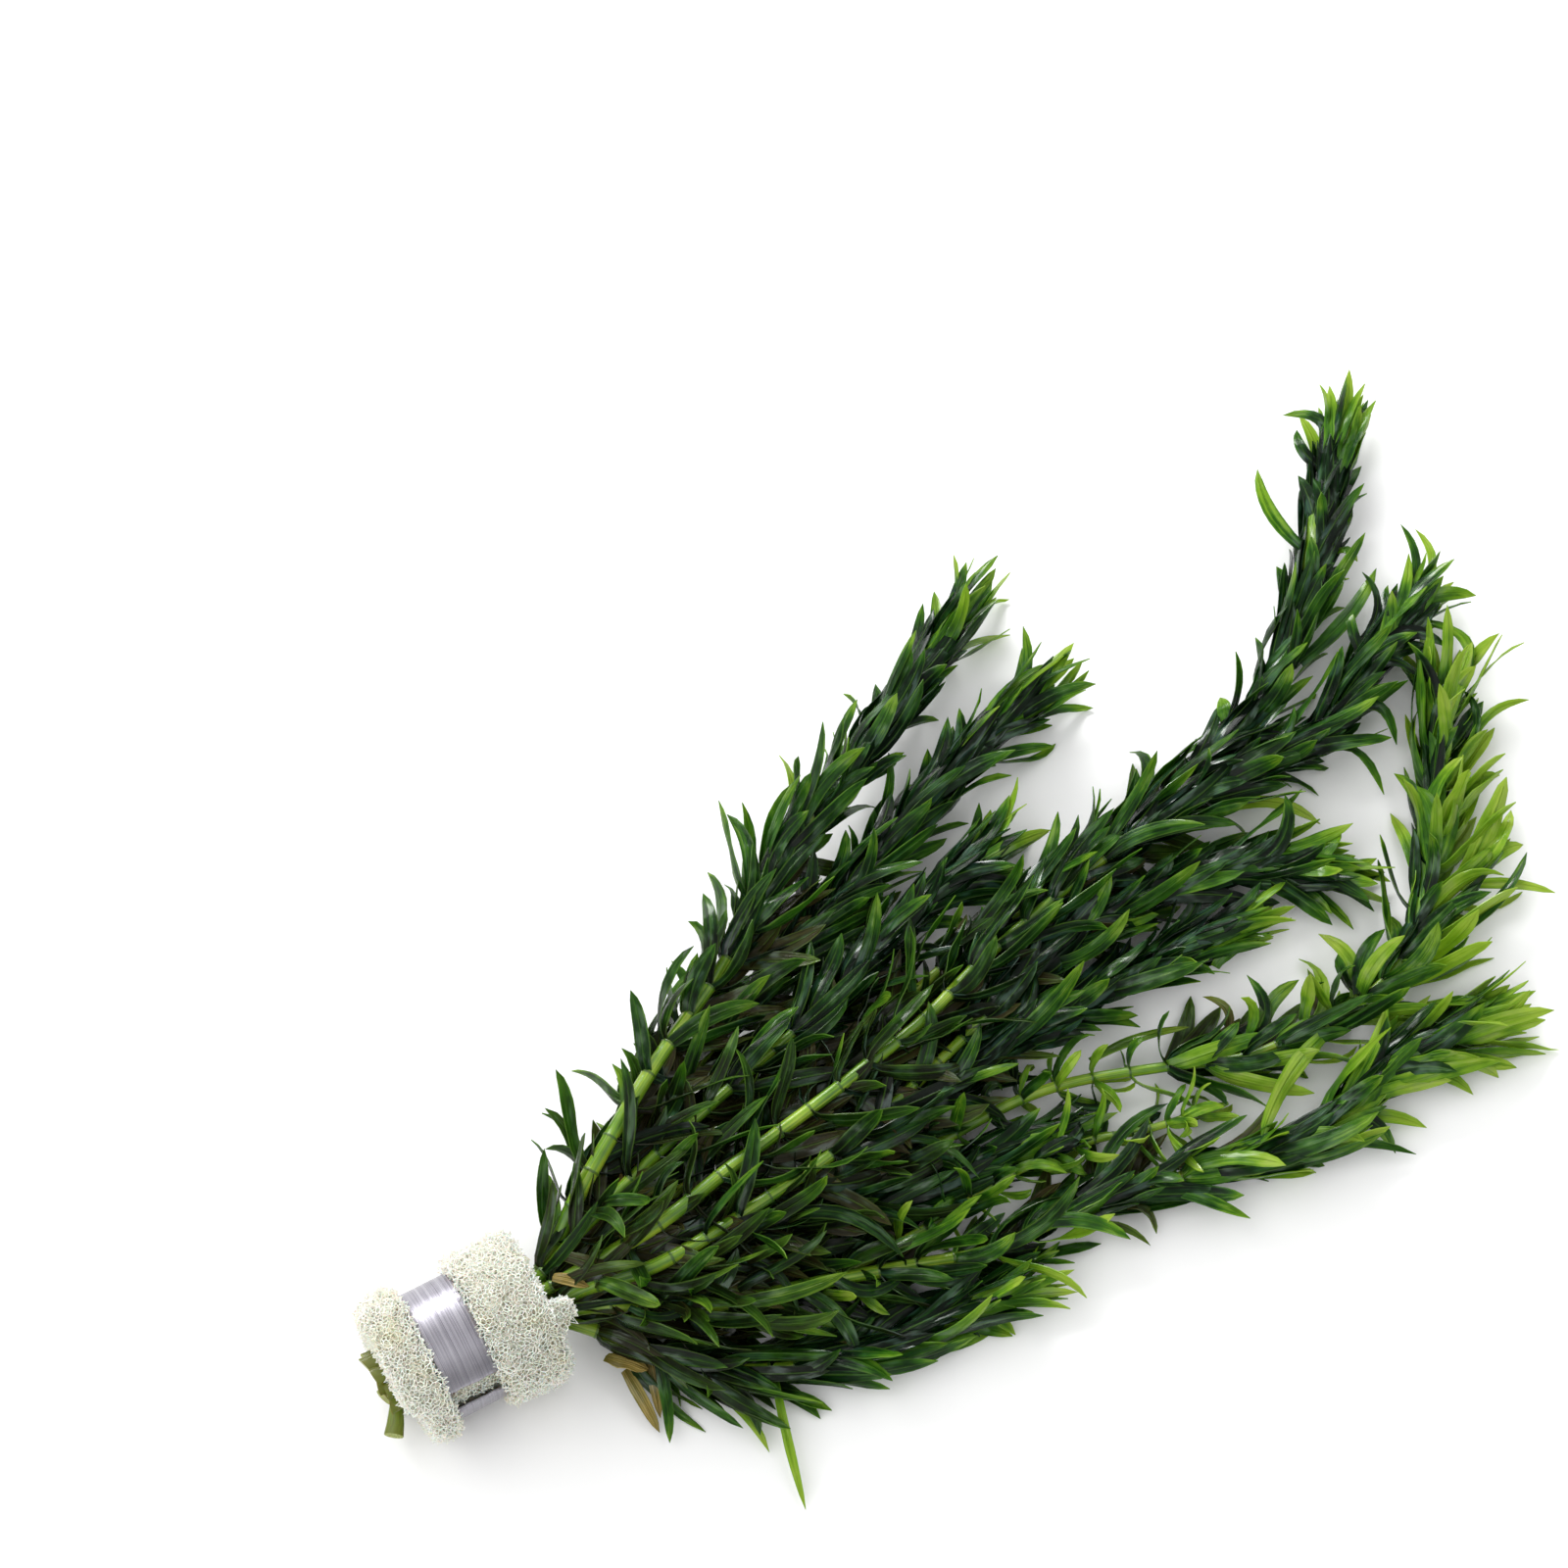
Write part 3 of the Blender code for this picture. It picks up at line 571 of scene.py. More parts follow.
def floor_look():
    look = Look("white_table", Roughness=0.6)
    faint = look.noise(3, 2)
    look.put(Base_Color=look.mix(faint, (0.9, 0.9, 0.9), (0.93, 0.93, 0.93)))
    return look.material


def face_outwards(bm):
    ops.recalc_face_normals(bm, faces=bm.faces[:])


def rest_on_floor(bm):
    for vert in bm.verts:
        vert.co.z = max(vert.co.z, 0)


def to_mesh(bm, name, *materials):
    mesh = bpy.data.meshes.new(name)
    bm.to_mesh(mesh)
    bm.free()
    for material in materials:
        mesh.materials.append(material)
    return mesh


def add_to_scene(name, data):
    thing = bpy.data.objects.new(name, data)
    bpy.context.scene.collection.objects.link(thing)
    return thing


def to_piece(bm, name, slot, materials, *nodes):
    """Makes a mesh in the roll's frame a finished piece that stands for its nodes."""
    bm.transform(TO_FRAME)
    piece = add_to_scene(name, to_mesh(bm, name, *materials))
    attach(piece, "root")
    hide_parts(*nodes)
    return piece


def smooth_point(before, start, end, after, t):
    """A point from start to end on a smooth line that also runs through before and after."""
    t1 = sqrt((start - before).length)
    t2 = t1 + sqrt((end - start).length)
    t3 = t2 + sqrt((after - end).length)
    t = t1 + (t2 - t1) * t
    middle = start.lerp(end, (t - t1) / (t2 - t1))
    low = before.lerp(start, t / t1).lerp(middle, t / t2)
    high = middle.lerp(end.lerp(after, (t - t2) / (t3 - t2)), (t - t1) / (t3 - t1))
    return low.lerp(high, (t - t1) / (t2 - t1))


class Route:
    """A smooth line through points, read by the length from its start."""

    def __init__(self, points):
        padded = [points[0] * 2 - points[1], *points, points[-1] * 2 - points[-2]]
        self.line = [smooth_point(*four, i / ROUTE_STEPS)
                     for four in zip(padded, padded[1:], padded[2:], padded[3:])
                     for i in range(ROUTE_STEPS)] + [points[-1]]
        self.marks = [0]
        for start, end in zip(self.line, self.line[1:]):
            self.marks.append(self.marks[-1] + (end - start).length)
        self.length = self.marks[-1]

    def at(self, mark):
        i = min(max(bisect.bisect(self.marks, mark) - 1, 0), len(self.line) - 2)
        share = (mark - self.marks[i]) / (self.marks[i + 1] - self.marks[i])
        return self.line[i].lerp(self.line[i + 1], share)

    def frame(self, mark):
        """The place at a mark, with the directions forward, left and up."""
        forward = (self.at(mark + MM) - self.at(mark - MM)).normalized()
        left = Vector((0, 0, 1)).cross(forward).normalized()
        return self.at(mark), forward, left, forward.cross(left)


def stem_route(name):
    """A stem's centre line, and the mark where it leaves the sponge."""
    stem = STEMS[name]
    held = [roll_point(along, stem.slot, stem.angle) for along in (
        CUT_END - stem.stand_out * MM, MOUTH_END - HELD_FROM_MOUTH, MOUTH_END + FREE_FROM_MOUTH)]
    if stem.stand_out > LEANS_FROM:
        held[0] += Vector(LEAN) * MM
        held.insert(1, roll_point(CUT_END + LEAN_START, stem.slot, stem.angle))
    route = Route(held + [Vector(point) * MM for point in stem.route])
    return route, next(mark for mark, place in zip(route.marks, route.line)
                       if place.x > held[-1].x)


def whorl_marks(route, mouth):
    """Where the whorls grow, from the tip down, ever further apart."""
    marks = []
    below = TIP_BARE
    while route.length - below > mouth + FIRST_WHORL + TIP_SPACING:
        marks.append(route.length - below)
        below += min(TIP_SPACING + below * SPACING_GROWTH, WIDEST_SPACING)
    return marks + [mouth + FIRST_WHORL]


def leaf_blank():
    """A flat blade: X is its width and Z its two faces, from -1 to 1, and Y its length."""
    bm = bmesh.new()
    ops.create_grid(bm, x_segments=2, y_segments=LEAF_STATIONS, size=1)
    for vert in bm.verts:
        vert.co.y = (vert.co.y + 1) / 2 * LEAF_STATIONS
    ops.solidify(bm, geom=bm.faces[:], thickness=2)
    middle = sum(vert.co.z for vert in bm.verts) / len(bm.verts)
    uv = bm.loops.layers.uv.new("blade")
    for vert in bm.verts:
        vert.co.z = 1 if vert.co.z > middle else -1
    face_outwards(bm)
    for edge in bm.edges:
        edge.smooth = edge.calc_face_angle() < radians(45)
    for face in bm.faces:
        face.smooth = True
        for loop in face.loops:
            co = loop.vert.co
            loop[uv].uv = ((co.x + 1) / 2, co.y / LEAF_STATIONS)
    return to_mesh(bm, "leaf_blank")


BLANK = leaf_blank()


def leaf_width(share):
    """A blade is narrower at its foot, and drawn out to its tip."""
    foot = 0.66 + 0.34 * min(share / 0.3, 1)
    return foot * max(1 - share ** 5, 0) ** 0.8 + 0.03


class Plant:
    """A stem with its leaves, as one growing mesh."""

    def __init__(self, name):
        self.name = name
        self.draw = random_for(name)
        self.seed = self.draw.uniform(0, 90)
        self.bm = bmesh.new()
        self.uv = self.bm.loops.layers.uv.new("blade")
        layers = self.bm.verts.layers.float
        self.youth, self.shade, self.wilt, self.ring, self.free = [
            layers.new(word) for word in ("youth", "shade", "wilt", "ring", "free")]
        self.places = []

    def add_leaf(self, stations, width, youth=0, wilt=0, cup=0.25, rest=FLOOR_CLEARANCE):
        """Lays a blank along the stations, each a place and the directions across and outwards."""
        draw = self.draw
        shade, ripple, phase = draw.uniform(-1, 1), draw.uniform(0, 0.22), draw.uniform(0, 6)
        known, faces = len(self.bm.verts), len(self.bm.faces)
        self.bm.from_mesh(BLANK)
        self.bm.verts.ensure_lookup_table()
        rows = [[] for _ in stations]
        for vert in self.bm.verts[known:]:
            across, station, face = vert.co
            k = round(station)
            place, side, out = stations[k]
            half = width / 2 * leaf_width(k / LEAF_STATIONS)
            fold = half * (ripple * across * sin(phase + k * 1.3) - cup * abs(across))
            vert.co = place + side * (across * half) + out * (face * LEAF_THICK / 2 + fold)
            vert.co.z = max(vert.co.z, rest + face * LEAF_THICK / 2)
            vert[self.youth], vert[self.shade], vert[self.wilt] = youth, shade, wilt
            rows[k].append(vert)
        self.places += [(station[0], row) for station, row in zip(stations, rows)]
        self.bm.faces.ensure_lookup_table()
        for face in self.bm.faces[faces:]:
            face.material_index = OLD_BLADE if youth < YOUNG_FROM else YOUNG_BLADE


# How many degrees further a leaf stands off at its foot, and how soon that wears off
CLASP = 34
CLASP_FADES = 7


def curved_blade(place, directions, length, opening, flare, curl, twist, bend):
    """The stations of a leaf that opens, bends and turns on its way to its tip."""
    forward, out, across = directions
    stations = []
    step = length / LEAF_STATIONS
    for k in range(LEAF_STATIONS + 1):
        share = k / LEAF_STATIONS
        turn = opening + CLASP * exp(-share * CLASP_FADES)
        turn = radians(turn + flare * share ** 1.6 + curl * share ** 3)
        ahead, away = turned(forward, out, turn)
        ahead, wide = turned(ahead, across, radians(bend * share))
        stations.append((place, *turned(wide, away, radians(twist * share))))
        place = place + ahead * step
    return stations


def stem_radius(name, out_of_mouth, share):
    """A stem swells as it leaves the sponge, and grows thinner to its tip."""
    swell = step_up(out_of_mouth, THICKENS_OVER / 2, THICKENS_OVER)
    swollen = STEM_RADIUS * (1 + (STEMS[name].thickness - 1) * swell)
    return swollen + (STEM_TIP_RADIUS - swollen) * share


def add_stem(plant, route, mouth, whorls):
    """Extrudes the bare stem from ring to ring, with a swollen dark ring at each node."""
    bm = plant.bm
    draw = random_for(plant.name + " stem")
    marks = {0: 1, route.length - 0.4 * MM: 0.5}
    count = round(route.length / RING_SPACING)
    for k in range(1, count):
        marks[route.length * k / count] = 1
    for whorl in whorls:
        for mark in [m for m in marks if abs(m - whorl) < NODE_HALF * 2.5 and m > 0]:
            del marks[mark]
        marks[whorl - NODE_HALF] = 1
        marks[whorl] = NODE_SWELL
        marks[whorl + NODE_HALF] = 1
    ops.create_circle(bm, cap_ends=True, segments=STEM_SIDES, radius=1)
    bm.faces.ensure_lookup_table()
    face = bm.faces[0]
    tilt = (draw.uniform(-0.5, 0.5), draw.uniform(-0.5, 0.5))
    shade = draw.uniform(-1, 1)
    for i, mark in enumerate(sorted(marks)):
        if i:
            face = ops.extrude_discrete_faces(bm, faces=[face])["faces"][0]
        share = max(0, mark - mouth) / (route.length - mouth)
        radius = stem_radius(plant.name, mark - mouth, share) * marks[mark]
        crush = fading(mark, CRUSH_REACH)
        place, forward, left, up = route.frame(mark)
        for k, vert in enumerate(face.verts):
            turn = tau * k / STEM_SIDES
            wide = 1 + 0.5 * crush
            offset = left * cos(turn) * wide + up * sin(turn) / wide ** 2
            vert.co = place + offset * radius
            if not i:
                vert.co += forward * radius * (tilt[0] * cos(turn) + tilt[1] * sin(turn))
            vert[plant.ring] = float(mark in whorls)
            vert[plant.wilt] = fading(mark, OLIVE_REACH)
            vert[plant.shade] = shade
    ops.holes_fill(bm, edges=bm.edges[:], sides=0)
    face_outwards(bm)
    bm.verts.index_update()
    for face in bm.faces:
        face.smooth = len(face.verts) == 4
        face.material_index = STEM_SKIN if face.smooth else PITH
        for loop in face.loops:
            around = loop.vert.index % STEM_SIDES / STEM_SIDES
            loop[plant.uv].uv = (around, loop.vert.co.x / (10 * MM))


def within(value, span):
    return span[0] < value < span[1]


# Up to which share of its stem a whorl is low, is bare on top, and has leaves under it
LOW_UNTIL = 0.5
BARE_UNTIL = 0.5
UNDER_UNTIL = 0.6
UNDER_LEAVES = 4
BARE_SHARE = 0.35

# In millimetres, how soon a fan is fully open, and a place along the roll that no stem reaches
FAN_LENGTH = 25
NEVER = 999

# How many leaves a whorl has, how many more low down, and how many fewer at the sponge's mouth
LEAVES_IN_WHORL = 8
LOW_LEAVES = 4
MOUTH_LEAVES = 9


class Whorl:
    """Where a whorl grows on its stem, and how its place shapes its leaves."""

    def __init__(self, plant, route, mouth, mark):
        name, grown = plant.name, mark - mouth
        self.mark = mark
        self.below_tip = route.length - mark
        self.lowest = mark <= mouth + FIRST_WHORL
        self.age = min(self.below_tip / YOUNG_REACH, 1)
        self.loose = min(self.below_tip / ROPE_REACH, 1)
        self.share = grown / (route.length - mouth)
        self.low = fading(self.share, LOW_UNTIL)
        self.at_mouth = fading(grown, MOUTH_REACH)
        self.place, self.forward, self.left, self.up = route.frame(mark)
        self.outwards = (self.place.xy - BUNCH_MIDDLE).normalized()
        self.radius = stem_radius(name, grown, self.share)
        along = self.place.x / MM
        self.sparse = within(along, SPARSE.get(name, (0, 0)))
        self.crest = within(along, CREST.get(name, (0, 0)))
        self.fan = min(max((along - FAN.get(name, NEVER)) / FAN_LENGTH, 0), 1)
        stretch = step_up(noise.noise(Vector((mark / BARE_STRETCH, plant.seed, 5))), -0.1, 0.5)
        self.top_bare = STEMS[name].bare_top * (BARE_SHARE + (1 - BARE_SHARE) * stretch)
        self.top_bare *= 1 - step_up(self.share, BARE_UNTIL, 0.4)

    def count(self, draw):
        """How many leaves it has, with those that will be missing."""
        count = LEAVES_IN_WHORL - (draw.random() < 0.5) - (self.age < 0.6)
        return count + round(LOW_LEAVES * self.low - MOUTH_LEAVES * self.at_mouth)


# The chances that a leaf is missing, and how far up it points on the upper side
MISSING = 0.06
MISSING_LOW = 0.08
MISSING_SPARSE = 0.5
UPPER_SIDE = 0.3


def is_missing(draw, whorl, out):
    chance = MISSING + whorl.low * MISSING_LOW
    if whorl.sparse:
        chance = MISSING_SPARSE
    elif out.z > UPPER_SIDE and not whorl.lowest:
        chance = MISSING + whorl.top_bare
    return draw.random() < chance


# How many degrees further a leaf opens low down, on a bare side, in a fan, where it strays and
# where it is bent back, and the chances of the last two
OPENS_LOW = 50
OPENS_BARE = 36
OPENS_IN_FAN = 30
STRAYING = (12, 40)
STRAYS_OFTEN = 0.03
STRAYS_LOOSE = 0.08
BENT_BACK = (20, 70)
BENDS_OFTEN = 0.07
HELD_AT_MOUTH = 0.8


def leaf_bends(draw, whorl, spread, out, drift, edge):
    """How a leaf opens from the stem, flares on its way, and curls at its tip, in degrees."""
    loose = whorl.loose
    opening = draw.uniform(0, 4 + 9 * loose) + drift.x * 14 * loose
    if draw.random() < STRAYS_OFTEN + STRAYS_LOOSE * loose:
        opening += draw.uniform(*STRAYING) * whorl.age
    opening = (opening + whorl.low * draw.uniform(0, OPENS_LOW)) * spread
    opening += OPENS_IN_FAN * whorl.fan * edge + whorl.top_bare * draw.uniform(0, OPENS_BARE)
    opening *= 1 - 0.35 * abs(out.z)
    flare = (drift.y * 44 - 3 + draw.uniform(-20, 24)) * (0.35 + 0.65 * loose) * spread
    if draw.random() < BENDS_OFTEN * whorl.age:
        flare += draw.uniform(*BENT_BACK)
    curl = (draw.gauss(4, 12 + 18 * loose) + whorl.low * draw.gauss(0, 70)) * spread
    held = 1 - HELD_AT_MOUTH * whorl.at_mouth
    return opening * held, flare, curl * held


def leaf_size(draw, whorl, edge):
    fan = whorl.fan * edge
    length = YOUNG_LENGTH + (LEAF_LENGTH - YOUNG_LENGTH) * whorl.age ** 0.8
    length *= draw.uniform(0.85 - 0.25 * whorl.age, 1.1) * (1 + 0.1 * fan)
    width = LEAF_WIDTH * (0.8 + 0.2 * whorl.age) * draw.uniform(0.75, 1.1)
    return length, width * (1 + 0.25 * fan - 0.12 * whorl.low)


# Leaves are younger near the tip, and a few are much younger or withered
YOUNG_TIP = 25 * MM
YOUNGER_OFTEN = 0.04
YOUNGER = (0.1, 0.3)
WITHERS_OFTEN = 0.003
WITHERED = (0.2, 0.5)


def leaf_age(draw, whorl, bright, edge):
    youth = fading(whorl.below_tip, YOUNG_TIP) * 0.3 + bright * draw.uniform(0.2, 1.1)
    youth += 0.2 * step_up(whorl.share, 0.65, 0.5)
    # Painted light: leaves facing out of the bunch get lighter, younger greens, like leaves lit
    # through over the white table.
    youth += edge * (0.1 + bright * 0.7) * draw.random()
    if draw.random() < YOUNGER_OFTEN:
        youth += draw.uniform(*YOUNGER)
    wilt = whorl.low * draw.uniform(0, 0.06)
    if draw.random() < WITHERS_OFTEN * whorl.low:
        wilt = draw.uniform(*WITHERED)
    return youth, wilt


# How many degrees a whorl is turned from the next, and a leaf strays from its place in it
WHORL_TURN = 40
SCATTER = 16
DRIFT_LENGTH = 14 * MM


def grow_leaf(plant, whorl, turn, is_first):
    """Grows one leaf. Its drift makes it lean as those beside it do, as wet leaves cling."""
    draw = plant.draw
    stem = STEMS[plant.name]
    out, across = turned(whorl.left, whorl.up, turn)
    if is_missing(draw, whorl, out):
        return
    drift = noise.noise_vector(Vector((whorl.mark / DRIFT_LENGTH, turn, plant.seed)))
    edge = max(0, out.xy.dot(whorl.outwards))
    opening, flare, curl = leaf_bends(draw, whorl, stem.spread, out, drift, edge)
    length, width = leaf_size(draw, whorl, edge)
    youth, wilt = leaf_age(draw, whorl, stem.bright, edge)
    if whorl.sparse:
        opening, curl = draw.uniform(20, 80), draw.gauss(0, 110)
        length, width, youth = length * draw.uniform(0.35, 0.8), width * 0.75, youth + 0.18
    elif whorl.crest and out.y > 0.3 and draw.random() < 0.5:
        opening, curl = opening + draw.uniform(30, 60), draw.gauss(0, 70)
        length *= draw.uniform(0.5, 0.8)
    swing = radians(drift.z * 26 * whorl.age + draw.gauss(0, 4 + 22 * whorl.low))
    ahead, across = turned(whorl.forward, across, swing * (1 - 0.7 * whorl.at_mouth))
    flat = 0 if is_first else degrees(turn) % 180 - 90
    twist = flat * (0.15 + 0.55 * whorl.loose) * draw.random() + draw.gauss(0, 24)
    bend = drift.x * 36 + draw.gauss(0, 8 + 18 * whorl.age)
    stations = curved_blade(whorl.place + out * whorl.radius * 0.8, (ahead, out, across),
                            length, opening, flare, curl, twist, bend)
    # Low leaves near the sponge get darker greens: partly their age, partly painted shade of the
    # dense bunch there.
    plant.add_leaf(stations, width, min(youth * (1 - 0.8 * whorl.low), 1), wilt,
                   draw.uniform(0.05, 0.4), FLOOR_CLEARANCE + draw.uniform(0, 1) * MM)


def grow_plant(name):
    plant = Plant(name)
    route, mouth = stem_route(name)
    marks = whorl_marks(route, mouth)
    add_stem(plant, route, mouth, marks)
    for level, mark in enumerate(marks):
        whorl = Whorl(plant, route, mouth, mark)
        count = whorl.count(plant.draw)
        for side in range(count):
            turn = level * WHORL_TURN + 360 * side / count
            turn = radians(turn + plant.draw.uniform(-SCATTER, SCATTER))
            grow_leaf(plant, whorl, turn, side == 0)
        if whorl.share < UNDER_UNTIL and not whorl.sparse and not whorl.at_mouth:
            add_under_leaves(plant, whorl)
    for stray in STRAYS.get(name, []):
        add_stray(plant, *stray)
    return plant


def add_under_leaves(plant, whorl):
    """Adds old leaves that lie flat under the bunch, on the side towards its middle, whose darkest
    greens also fill the bunch's gaps as painted shade.
    """
    draw = plant.draw
    down = Vector((0, 0, -1))
    for _ in range(UNDER_LEAVES):
        side = draw.choice((-1, 1))
        if (whorl.left * side).xy.dot(whorl.outwards) > 0.25:
            continue
        swing = radians(side * draw.uniform(5, 60))
        ahead = turned(whorl.forward, whorl.left, swing)[0]
        stations = curved_blade(
            whorl.place + down * whorl.radius, (ahead, down, down.cross(ahead)),
            LEAF_LENGTH * draw.uniform(0.7, 1), draw.uniform(-10, 30), draw.uniform(-30, 10),
            draw.gauss(0, 20), draw.gauss(0, 30), draw.gauss(0, 20))
        plant.add_leaf(stations, LEAF_WIDTH * draw.uniform(0.9, 1.2), 0, 0.05, 0.2,
                       FLOOR_CLEARANCE + draw.uniform(0, 2) * MM)


def add_stray(plant, foot, tip, bow, width, youth, wilt=0):
    """Adds one leaf along a bowed line from its foot to its tip."""
    foot, tip, rise = Vector(foot) * MM, Vector(tip) * MM, Vector((0, 0, 1))
    middle = (foot + tip) / 2 + (rise.cross(tip - foot).normalized() * 2 * bow + rise * 3) * MM
    turn = plant.draw.uniform(-0.5, 0.5)
    stations = []
    for k in range(LEAF_STATIONS + 1):
        share = k / LEAF_STATIONS
        place = foot.lerp(middle, share).lerp(middle.lerp(tip, share), share)
        ahead = (middle - foot).lerp(tip - middle, share).normalized()
        side = rise.cross(ahead).normalized()
        stations.append((place, *turned(side, ahead.cross(side), turn)))
    plant.add_leaf(stations, width * MM, youth, wilt)


def paint_crowd_shade(plants):
    """Marks how free of its neighbours each place on a leaf is, which its greens follow: painted
    shade where leaves crowd, painted light where they stand free.
    """
    places = [place for plant in plants for place, _ in plant.places]
    tree = kdtree.KDTree(len(places))
    for i, place in enumerate(places):
        tree.insert(place, i)
    tree.balance()
    for plant in plants:
        for place, verts in plant.places:
            crowd = len(tree.find_range(place, CROWD_REACH))
            for vert in verts:
                vert[plant.free] = fading(crowd, FULL_CROWD)


def make_plants():
    plants = [grow_plant(name) for name in STEMS]
    paint_crowd_shade(plants)
    old_leaf = leaf_look("old_leaf", OLD_GREENS, (0.16, 0.38, 0.015), 0.1)
    young_leaf = leaf_look("young_leaf", YOUNG_GREENS, (0.46, 0.64, 0.06), 0.22)
    materials = [stem_look(), old_leaf, pith_look(), young_leaf]
    for plant in plants:
        to_piece(plant.bm, "waterweed_" + plant.name[-2:], "waterweed", materials, plant.name)


def rounded(corners, steps=4):
    """An outline with its corners drawn as short curves."""
    outline = []
    for i, (along, radius, rounding) in enumerate(corners):
        here, before = Vector((along, radius)), Vector(corners[i - 1][:2])
        after = Vector(corners[(i + 1) % len(corners)][:2])
        start = here + (before - here).normalized() * rounding
        end = here + (after - here).normalized() * rounding
        count = steps if rounding else 0
        for k in range(count + 1):
            share = k / max(count, 1)
            outline.append(start.lerp(here, share).lerp(here.lerp(end, share), share))
    return outline


def spaced(outline, spacing):
    """A closed outline's points at an even spacing."""
    closed = outline + outline[:1]
    total = sum((b - a).length for a, b in zip(closed, closed[1:]))
    count = round(total / spacing)
    points, walked, target = [], 0, 0
    for a, b in zip(closed, closed[1:]):
        run = (b - a).length
        while target < walked + run - 1e-9 and len(points) < count:
            points.append(a.lerp(b, (target - walked) / run))
            target += total / count
        walked += run
    return points


def sponge_skin():
    """The sponge's outer surface: its section spun round, with the tab, the notch and lumps."""
    pinch = STRIP_WIDTH / 2 + GAP
    outline = rounded([
        (CUT_END, BORE_RADIUS, BORE_ROUNDING), (CUT_END, CUT_RADIUS, COLLAR_ROUNDING),
        (-pinch, CUT_RADIUS, PINCH_ROUNDING), (-pinch, PINCHED_RADIUS, 0),
        (pinch, PINCHED_RADIUS, 0), (pinch, MOUTH_RADIUS, PINCH_ROUNDING),
        (MOUTH_END, MOUTH_RADIUS, COLLAR_ROUNDING), (MOUTH_END, BORE_RADIUS, BORE_ROUNDING),
    ])
    bm = bmesh.new()
    verts = [bm.verts.new(roll_point(p.x, p.y, 90)) for p in spaced(outline, CELL_SPACING)]
    for i, vert in enumerate(verts):
        bm.edges.new((vert, verts[(i + 1) % len(verts)]))
    steps = round(tau * MOUTH_RADIUS / CELL_SPACING)
    ops.spin(bm, geom=bm.verts[:] + bm.edges[:], cent=(0, 0, ROLL_HEIGHT), axis=(1, 0, 0),
             dvec=(0, 0, 0), angle=tau, steps=steps, use_merge=True)
    pull_out_tab(bm)
    for vert in bm.verts:
        along, radius, angle = roll_place(vert.co)
        if radius > PINCHED_RADIUS + GAP:
            radius += LUMP_HEIGHT * noise.noise(vert.co / LUMP_LENGTH)
            radius += LUMP_HEIGHT * 0.5 * noise.noise(vert.co / (LUMP_LENGTH * 0.4))
        along += NOTCH_DEPTH * fading(along - CUT_END, NOTCH_REACH) * notch(angle)
        vert.co = roll_point(along, radius, angle)
    rest_on_floor(bm)
    face_outwards(bm)
    bm.normal_update()
    return bm


def pull_out_tab(bm):
    """Extrudes a few faces of the mouth's end into a small tab."""
    inner = BORE_RADIUS + BORE_ROUNDING / 2
    outer = MOUTH_RADIUS - COLLAR_ROUNDING / 2
    middle = roll_point(0, (inner + outer) / 2, TAB_ANGLE)
    faces = []
    for face in bm.faces:
        along, radius, angle = roll_place(face.calc_center_median())
        at_mouth = along > MOUTH_END - GAP and inner < radius < outer
        if at_mouth and abs(angle - TAB_ANGLE) < TAB_SPREAD:
            faces.append(face)
    count = round(TAB_LENGTH / CELL_SPACING)
    for k in range(count):
        grown = ops.extrude_face_region(bm, geom=faces)["geom"]
        ops.delete(bm, geom=faces, context="FACES")
        faces = [part for part in grown if isinstance(part, bmesh.types.BMFace)]
        taper = TAB_TAPER ** (1 / count) if k < count - 1 else TAB_TAPER
        for vert in [part for part in grown if isinstance(part, bmesh.types.BMVert)]:
            vert.co.x += TAB_LENGTH / count
            vert.co.yz = middle.yz + (vert.co.yz - middle.yz) * taper


def is_hidden(face):
    """Whether a face of the sponge is in its bore or under the strip."""
    along, radius, angle = roll_place(face.calc_center_median())
    pinched = abs(along) < STRIP_WIDTH / 2 + GAP and radius < PINCHED_RADIUS + GAP
    bare = STRIP_LAST_END - 360 < angle < STRIP_FIRST_END
    return radius < BORE_RADIUS + GAP or (pinched and not bare)


def by_place(verts):
    """The points sorted by where they are, because the bevel numbers them anew in each run."""
    return sorted(verts, key=lambda vert: [round(part / (0.001 * MM)) for part in vert.co])


def sponge_net(skin):
    """The open cells at the sponge's surface: a net of thin struts that meet three by three."""
    draw = random_for("sponge net")
    net = skin.copy()
    ops.delete(net, geom=[face for face in net.faces if is_hidden(face)], context="FACES")
    ops.triangulate(net, faces=net.faces[:])
    for vert in by_place(net.verts):
        shift = Vector([draw.uniform(-1, 1) for _ in range(3)]) * CELL_SPACING * CORNER_SHIFT
        shift -= vert.normal * shift.dot(vert.normal)
        vert.co += shift
    ops.bevel(net, geom=net.verts[:], offset=CORNER_CUT, offset_type="PERCENT",
              affect="VERTICES", segments=1, profile=0.5, material=-1)
    net.normal_update()
    for vert in by_place(net.verts):
        vert.co += vert.normal * draw.uniform(-STRUT_JITTER, STRUT_JITTER)
        if draw.random() < LOOSE_ENDS:
            vert.co += vert.normal * draw.uniform(0, LOOSE_REACH)
    ops.wireframe(net, faces=net.faces[:], thickness=STRUT_THICK, offset=0,
                  use_replace=True, use_boundary=True, use_even_offset=False)
    rest_on_floor(net)
    return net


def make_sponge():
    skin = sponge_skin()
    net = sponge_net(skin)
    for vert in skin.verts:
        if roll_place(vert.co)[1] > BORE_RADIUS + GAP:
            vert.co -= vert.normal * CORE_DEPTH
    rest_on_floor(skin)
    for face in skin.faces:
        face.smooth = True
        face.material_index = 1
    struts = to_mesh(net, "struts")
    skin.from_mesh(struts)
    bpy.data.meshes.remove(struts)
    piece = to_piece(skin, "sponge_roll", "sponge", [strut_look(), core_look()], "sponge_wrap")


